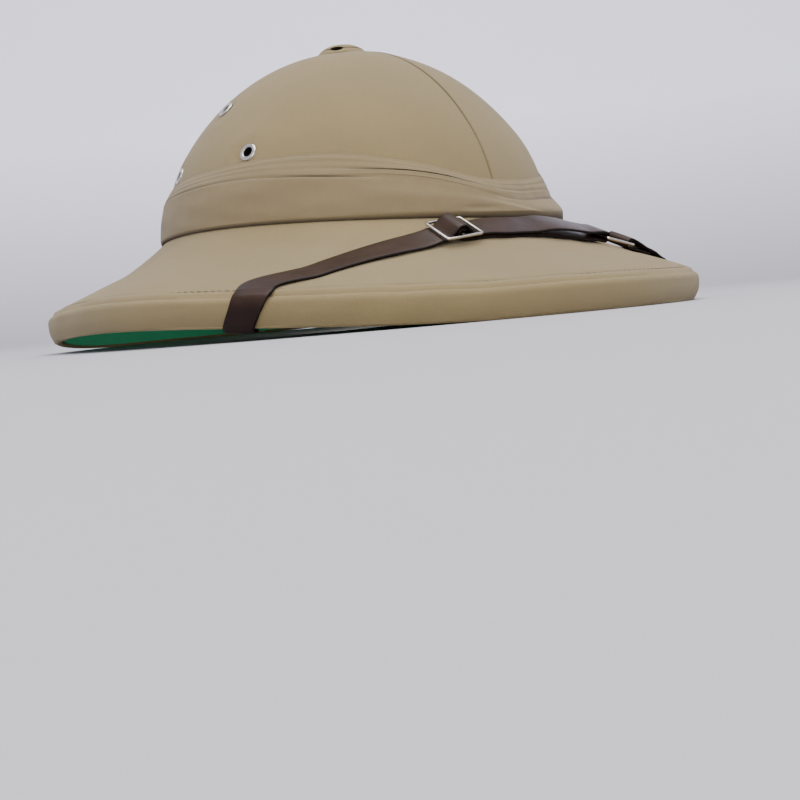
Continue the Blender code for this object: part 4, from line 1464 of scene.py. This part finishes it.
def long_strap_path():
    """From the rim under the slider, over its middle bar, to the ring and back to the slider's middle bar."""
    x0, lift = SLIDER_PLACE, SLIDER_LIFT
    half = SLIDER_LENGTH / 2
    over = WRAP_RADIUS + LAYER_PITCH
    under_bar = lift - METAL_THICKNESS / 2 - GAP - STRAP_THICKNESS / 2
    window = half - METAL_WIDTH - METAL_EDGE
    far = ring_bar(-1)
    upper_end = RING_LIFT + WRAP_RADIUS
    lower_end = RING_LIFT - WRAP_RADIUS
    start = lay_end(-1)
    entry = [(start, LAY_HEIGHT)]
    for way in (0.12, 0.3, 0.48, 0.66, 0.84):
        lift_off = STRAP_LIFT * math.sin(way * TURN / 2)
        entry.append((mixed(start, x0 - half, way), LAY_HEIGHT + lift_off))
    before = (x0 - window, under_bar)
    after = (x0 + window, under_bar)
    entry += [(x0 - half * 1.3, mixed(LAY_HEIGHT, under_bar, 0.6)), (x0 - half, under_bar), before]
    first = touch_angle(x0, lift, over, before, 1)
    last = touch_angle(x0, lift, over, after, -1)
    hump = arc(x0, lift, over, first, last % TURN, 9)
    upper = [after, (x0 + half, under_bar)]
    lower = [(x0 + half * 0.6, LAY_HEIGHT), (x0 + half, LAY_HEIGHT)]
    for way in (0.08, 0.19, 0.30, 0.41, 0.52, 0.63, 0.74, 0.85, 0.93):
        x = mixed(x0 + half, far, way)
        near_ring = float(eased((way - 0.75) / 0.25))
        opening = SLIT_OPENING * float(eased((way - 0.35) / 0.25) * eased((0.97 - way) / 0.2))
        upper.append((x, mixed(LAY_HEIGHT + LAYER_PITCH + opening, upper_end, near_ring)))
        lower.append((x, mixed(LAY_HEIGHT, lower_end, near_ring)))
    fold = arc(far, RING_LIFT, WRAP_RADIUS, TURN / 4, -TURN / 4, 9)
    foot = touch_angle(x0, lift, WRAP_RADIUS, lower[0], 1)
    tuck = arc(x0, lift, WRAP_RADIUS, foot, TURN / 8, 11)
    return [*entry, *hump, *upper, *fold, *reversed(lower), *tuck]


def short_strap_path():
    """From its folded end round the ring's bar and back over itself towards the rim."""
    bar = ring_bar(1)
    upper_end = RING_LIFT + WRAP_RADIUS
    lower_end = RING_LIFT - WRAP_RADIUS
    foot = LAY_HEIGHT
    path = [(bar + SHORT_FOLD_LENGTH, foot)]
    for way in (0.7, 0.4):
        path.append((bar + SHORT_FOLD_LENGTH * way, mixed(lower_end, foot, way)))
    path += arc(bar, RING_LIFT, WRAP_RADIUS, -TURN / 4, -TURN * 3 / 4, 11)
    over_fold = foot + LAYER_PITCH * 1.2
    for way in (0.2, 0.4, 0.6, 0.8, 1.0):
        path.append((bar + SHORT_FOLD_LENGTH * way, mixed(upper_end, over_fold, float(eased(way)))))
    for way in (0.33, 0.67, 1.0):
        x = mixed(bar + SHORT_FOLD_LENGTH, lay_end(1), way)
        path.append((x, mixed(over_fold, foot, float(eased(way)))))
    return path


def smooth_stations(stations, pieces):
    """More stations on smooth curves through the corners of the given ones."""
    corners = np.array([[tuple(c) for c in station] for station in stations])
    count = len(corners)
    middles = corners.mean(axis=1)
    knots = np.concatenate([[0], np.cumsum(np.linalg.norm(np.diff(middles, axis=0), axis=1) ** 0.5)])
    slopes = np.zeros_like(corners)
    for i in range(count):
        a, b = max(i - 1, 0), min(i + 1, count - 1)
        if 0 < i < count - 1:
            before = (corners[i] - corners[a]) / (knots[i] - knots[a])
            after = (corners[b] - corners[i]) / (knots[b] - knots[i])
            share = (knots[i] - knots[a]) / (knots[b] - knots[a])
            slopes[i] = before * (1 - share) + after * share
        else:
            slopes[i] = (corners[b] - corners[a]) / (knots[b] - knots[a])
    fine = []
    for i in range(count - 1):
        span = knots[i + 1] - knots[i]
        for step in range(pieces):
            t = step / pieces
            fine.append(
                corners[i] * (2 * t**3 - 3 * t**2 + 1)
                + slopes[i] * span * (t**3 - 2 * t**2 + t)
                + corners[i + 1] * (3 * t**2 - 2 * t**3)
                + slopes[i + 1] * span * (t**3 - t**2)
            )
    fine.append(corners[-1])
    return np.array(fine)


def strap_section():
    """Round-edged section of the strap: shares across and through it, and how near its edge each point is."""
    edge = STRAP_THICKNESS / STRAP_WIDTH
    points = []
    for side in (1, -1):
        start = 1 - edge
        for across in np.linspace(-start, start, 9):
            groove = 0.10 * float(bell(abs(across) - 0.80, 0.035)) if side == 1 else 0.0
            puff = 0.10 * (1 - (across / start) ** 2) if side == 1 else 0.0
            points.append((across * side, side * (0.88 + puff - groove), 0.0))
        for turn in np.linspace(TURN / 4, -TURN / 4, 7)[1:-1]:
            points.append((side * (start + edge * math.cos(turn)), side * 0.88 * math.sin(turn), 1.0))
    return points


def build_strap(name, stations, slot_node):
    """A leather strap with rounded, rougher edges painted dark as shade, and a shallow line pressed along
    each side.
    """
    fine = smooth_stations(stations, 5)
    section = strap_section()
    rows = []
    for across, through, _ in section:
        a, b = (across + 1) / 2, (through + 1) / 2
        outer = fine[:, 0] * (1 - a) + fine[:, 1] * a
        inner = fine[:, 3] * (1 - a) + fine[:, 2] * a
        rows.append(inner * (1 - b) + outer * b)
    points = np.stack(rows, axis=1)
    edges = np.array([mark for _, _, mark in section])[None, :]
    strap = add_grid(name, points, marks={"edge": edges}, wrap_round=False, material=leather())
    strap.data.set_sharp_from_angle(angle=math.radians(60))
    hand_over(strap, "strap", slot_node)
    return strap


def wire_loop(name, length, width, bars):
    """A frame of flattened wire with rounded corners, and a bar across its middle if asked for."""
    half_x = length / 2 - WIRE_WIDTH / 2
    half_y = width / 2 - WIRE_WIDTH / 2
    track = []
    for sx, sy, start in ((1, 1, 0), (-1, 1, 1), (-1, -1, 2), (1, -1, 3)):
        for step in range(7):
            turn = (start + step / 6) * TURN / 4
            x = sx * (half_x - WIRE_CORNER) + WIRE_CORNER * math.cos(turn)
            track.append((x, sy * (half_y - WIRE_CORNER) + WIRE_CORNER * math.sin(turn)))
    pieces = [swept(name, track, True)]
    for bar in range(bars):
        across = [(0, y) for y in np.linspace(-half_y, half_y, 5)]
        # The middle bar is painted fully dark: painted shade for the shade under the strap's hump.
        pieces.append(swept(f"{name}_bar_{bar}", across, False, 1.0))
    return pieces


def swept(name, track, closed, painted_shade=0.0):
    """Flattened round wire along a track in its own plane; the last argument is how much painted shade
    darkens it.
    """
    track = np.array(track)
    count = len(track)
    rows = []
    for i in range(count):
        before = track[i - 1] if closed or i else track[i]
        after = track[(i + 1) % count] if closed or i < count - 1 else track[i]
        along = (after - before) / np.linalg.norm(after - before)
        side = np.array((along[1], -along[0]))
        ring = []
        for turn in even_angles(16):
            wide, tall = (
                size / 2 * math.copysign(abs(way) ** WIRE_SQUARENESS, way)
                for size, way in ((WIRE_WIDTH, math.cos(turn)), (WIRE_THICKNESS, math.sin(turn)))
            )
            ring.append((*(track[i] + side * wide), tall))
        rows.append(ring)
    marks = {"crease": np.array([[painted_shade]])}
    return add_grid(name, np.array(rows), marks=marks, wrap_round=closed, material=nickel())


def build_buckle(name, place, lift, length, bars, node):
    width = STRAP_WIDTH + 2 * (SIDE_CLEARANCE + METAL_WIDTH)
    middle, along, _, normal = metal_frame(place)
    pieces = wire_loop(name, length, width, bars)
    for piece in pieces:
        stand(piece, middle + normal * lift, normal, along)
    frame_piece = join(name, pieces) if len(pieces) > 1 else pieces[0]
    hand_over(frame_piece, "bright_metal", node)


def build_eyelet(node, point, normal):
    """A rolled metal eyelet: domed flange outside, barrel through the shell, flat flange inside."""
    heights = [(Vector(v.co) - point).dot(normal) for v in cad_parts[node].data.vertices]
    top, back = max(heights), min(heights)
    seat = top - EYELET_TOTAL_RISE
    hole, flange = EYELET_HOLE_RADIUS, EYELET_FLANGE_RADIUS * EYELET_VISIBLE_SHARE
    centre, half = (hole + flange) / 2, (flange - hole) / 2
    profile = []
    for turn in np.linspace(math.pi, 0, 13):
        rise = 0.00015 + EYELET_DOME_HEIGHT * max(math.sin(turn), 0) ** 0.8
        profile.append((centre + half * math.cos(turn), seat + rise))
    inside = back + EYELET_BACK_THICKNESS
    profile += [(flange - 0.0001, seat), (EYELET_BARREL_RADIUS, seat), (EYELET_BARREL_RADIUS, inside)]
    profile += [(flange * 0.85, inside), (flange * 0.85, back + 0.0001), (flange * 0.80, back), (hole, back)]
    profile += [(hole, mixed(back, seat, way)) for way in (0.25, 0.5, 0.75)]
    radii, rises = np.array(profile).T
    tarnish = np.maximum(bell(radii - hole, 0.00035), bell(rises - seat, 0.00022))
    eyelet = turned(f"{node}_plate", profile, 40, nickel(), marks={"crease": tarnish[None, :]})
    stand(eyelet, point, normal)
    eyelet.data.set_sharp_from_angle(angle=math.radians(45))
    hand_over(eyelet, "bright_metal", node)


# Stage


def build_stage():
    """Pale floor and sweep, soft light and the camera."""
    scene = bpy.context.scene
    profile = [(radius, 0.0) for radius in (0.0, 0.5, 1.0, FLOOR_RADIUS)]
    for turn in np.arange(1, 13) / 12 * TURN / 4:
        out, up = SWEEP_RADIUS * math.sin(turn), SWEEP_RADIUS * (1.0 - math.cos(turn))
        profile.append((FLOOR_RADIUS + out, up))
    profile += [(FLOOR_RADIUS + SWEEP_RADIUS, height) for height in (1.8, WALL_TOP)]
    material = made("pale paper", lambda key: paper(key, colours().floor, colours().wall))
    sweep = turned("floor_and_wall", profile, 96, material, closed=False)
    world = bpy.data.worlds.new("soft room")
    world.use_nodes = True
    background = world.node_tree.nodes["Background"]
    background.inputs["Color"].default_value = ROOM_COLOUR
    background.inputs["Strength"].default_value = sizes().room_light
    scene.world = world
    for name, (place, aim, size, spread) in LIGHTS.items():
        light = bpy.data.lights.new(f"soft light {name}", "AREA")
        light.energy = getattr(sizes(), f"{name}_light")
        light.shape = "RECTANGLE"
        light.size, light.size_y = size
        light.spread = math.radians(spread)
        light.color = LIGHT_COLOUR
        lamp = bpy.data.objects.new(light.name, light)
        lamp.location = place
        lamp.visible_camera = False
        lamp.rotation_euler = (Vector(aim) - Vector(place)).to_track_quat("-Z", "Y").to_euler()
        scene.collection.objects.link(lamp)
    camera = bpy.data.cameras.new("camera")
    camera.lens = CAMERA_LENS_MM
    camera.sensor_width = SENSOR_MM
    camera.clip_start = 0.01
    holder = bpy.data.objects.new("camera", camera)
    turn = Matrix((CAMERA_RIGHT, CAMERA_UP, CAMERA_BACK)).transposed().to_4x4()
    holder.matrix_world = Matrix.Translation(CAMERA_PLACE) @ turn
    scene.collection.objects.link(holder)
    scene.camera = holder


def length_property(name, description, default):
    return FloatProperty(name=name, description=description, default=default, unit="LENGTH")


def power_property(name, description, default):
    return FloatProperty(name=name, description=description, default=default, subtype="POWER")


class HelmetSizes(bpy.types.PropertyGroup):
    """Sizes and powers that a maker would change."""

    thread: length_property("Thread", "Width of one thread of the cotton", 0.00045)
    stitch_share: FloatProperty(
        name="Stitched line", description="Stitches' place between the crown and the crease", default=0.955
    )
    stitch_pitch: length_property("Stitch pitch", "Distance from one stitch to the next", 0.0036)
    stitch_length: length_property("Stitch length", "Length of the thread that shows", 0.0026)
    stitch_thickness: length_property("Stitch thickness", "Thickness of the sewing thread", 0.00042)
    room_light: FloatProperty(name="Room light", description="Strength of the light all round", default=0.95)
    above_light: power_property("Top light", "Power of the light above", 68.0)
    front_light: power_property("Front light", "Power of the light beside the camera", 6.0)
    low_light: power_property("Low light", "Power of the light on the rim's face", 2.0)
    inside_light: power_property("Inner light", "Power of the light on the lining's inside", 0.026)
    wall_light: power_property("Wall light", "Power of the light on the wall", 14.0)


def colour_property(name, description, default):
    return FloatVectorProperty(
        name=name, description=description, default=default, subtype="COLOR", size=3, min=0, max=1
    )


class HelmetColours(bpy.types.PropertyGroup):
    """Colours that a maker would change."""

    khaki: colour_property("Khaki", "Cotton of the crown and the brim", (0.203, 0.155, 0.069))
    band: colour_property("Band khaki", "Cotton of the puggaree", (0.195, 0.149, 0.075))
    lining: colour_property("Green", "Cotton under the brim", (0.05, 0.46, 0.24))
    strap: colour_property("Strap", "Leather of the chin strap", (0.0225, 0.0110, 0.0060))
    metal: colour_property("Metal", "Plated eyelets, slider and ring", (0.56, 0.525, 0.465))
    stem: colour_property("Stem", "Steel of the vent's stem", (0.48, 0.47, 0.45))
    thread: colour_property("Thread", "Sewing thread of the rim", (0.165, 0.124, 0.056))
    floor: colour_property("Floor", "Floor that the helmet rests on", (0.40, 0.40, 0.42))
    wall: colour_property("Wall", "Wall behind the helmet", (0.90, 0.90, 0.99))


class AddShell(bpy.types.Operator):
    """Adds the cloth-covered crown and brim and the green lining"""

    bl_idname = "helmet.add_shell"
    bl_label = "Crown, brim and lining"

    def execute(self, context):
        hand_over(build_crown(), "khaki", "crown")
        hand_over(build_brim(), "khaki", "brim")
        hand_over(build_lining(), "green", "brim_lining")
        build_rim_stitches()
        return {"FINISHED"}


class AddBand(bpy.types.Operator):
    """Adds the folded puggaree"""

    bl_idname = "helmet.add_band"
    bl_label = "Puggaree"

    def execute(self, context):
        hand_over(build_band(), "khaki_band", "puggaree")
        return {"FINISHED"}


class AddVents(bpy.types.Operator):
    """Adds the vent button and the air eyelets"""

    bl_idname = "helmet.add_vents"
    bl_label = "Vent and eyelets"

    def execute(self, context):
        build_vent()
        for node, point, normal in eyelet_places():
            build_eyelet(node, point, normal)
        return {"FINISHED"}


class AddStraps(bpy.types.Operator):
    """Adds the chin strap's two lengths of leather, its slider and its ring"""

    bl_idname = "helmet.add_straps"
    bl_label = "Chin strap"

    def execute(self, context):
        long_stations = [*reversed(wrap_stations(1)), *path_stations(long_strap_path())]
        build_strap("strap_long_leather", long_stations, "strap_long")
        short_stations = [*path_stations(short_strap_path()), *wrap_stations(-1)]
        build_strap("strap_short_leather", short_stations, "strap_short")
        build_buckle("strap_slider_wire", SLIDER_PLACE, SLIDER_LIFT, SLIDER_LENGTH, 1, "strap_slider")
        build_buckle("strap_ring_wire", RING_PLACE, RING_LIFT, RING_LENGTH, 0, "strap_ring")
        return {"FINISHED"}


class AddStage(bpy.types.Operator):
    """Adds the floor, the wall, the lights and the camera"""

    bl_idname = "helmet.add_stage"
    bl_label = "Stage"

    def execute(self, context):
        build_stage()
        return {"FINISHED"}


class HelmetPanel(bpy.types.Panel):
    """Lists the helmet's pieces in the sidebar"""

    bl_idname = "VIEW3D_PT_helmet"
    bl_label = "Pith helmet"
    bl_space_type = "VIEW_3D"
    bl_region_type = "UI"
    bl_category = "Pith helmet"

    def draw(self, context):
        for group in (context.scene.helmet_sizes, context.scene.helmet_colours):
            for key in group.__annotations__:
                self.layout.prop(group, key)
        for operator in OPERATORS:
            self.layout.operator(operator.bl_idname)


OPERATORS = (AddShell, AddBand, AddVents, AddStraps, AddStage)
CLASSES = (HelmetSizes, HelmetColours, *OPERATORS, HelmetPanel)


def register():
    for cls in CLASSES:
        bpy.utils.register_class(cls)
    bpy.types.Scene.helmet_sizes = PointerProperty(type=HelmetSizes)
    bpy.types.Scene.helmet_colours = PointerProperty(type=HelmetColours)


def unregister():
    del bpy.types.Scene.helmet_colours
    del bpy.types.Scene.helmet_sizes
    for cls in reversed(CLASSES):
        bpy.utils.unregister_class(cls)


def main():
    register()
    for operator in OPERATORS:
        group, name = operator.bl_idname.split(".")
        getattr(getattr(bpy.ops, group), name)()


if __name__ == "__main__":
    main()
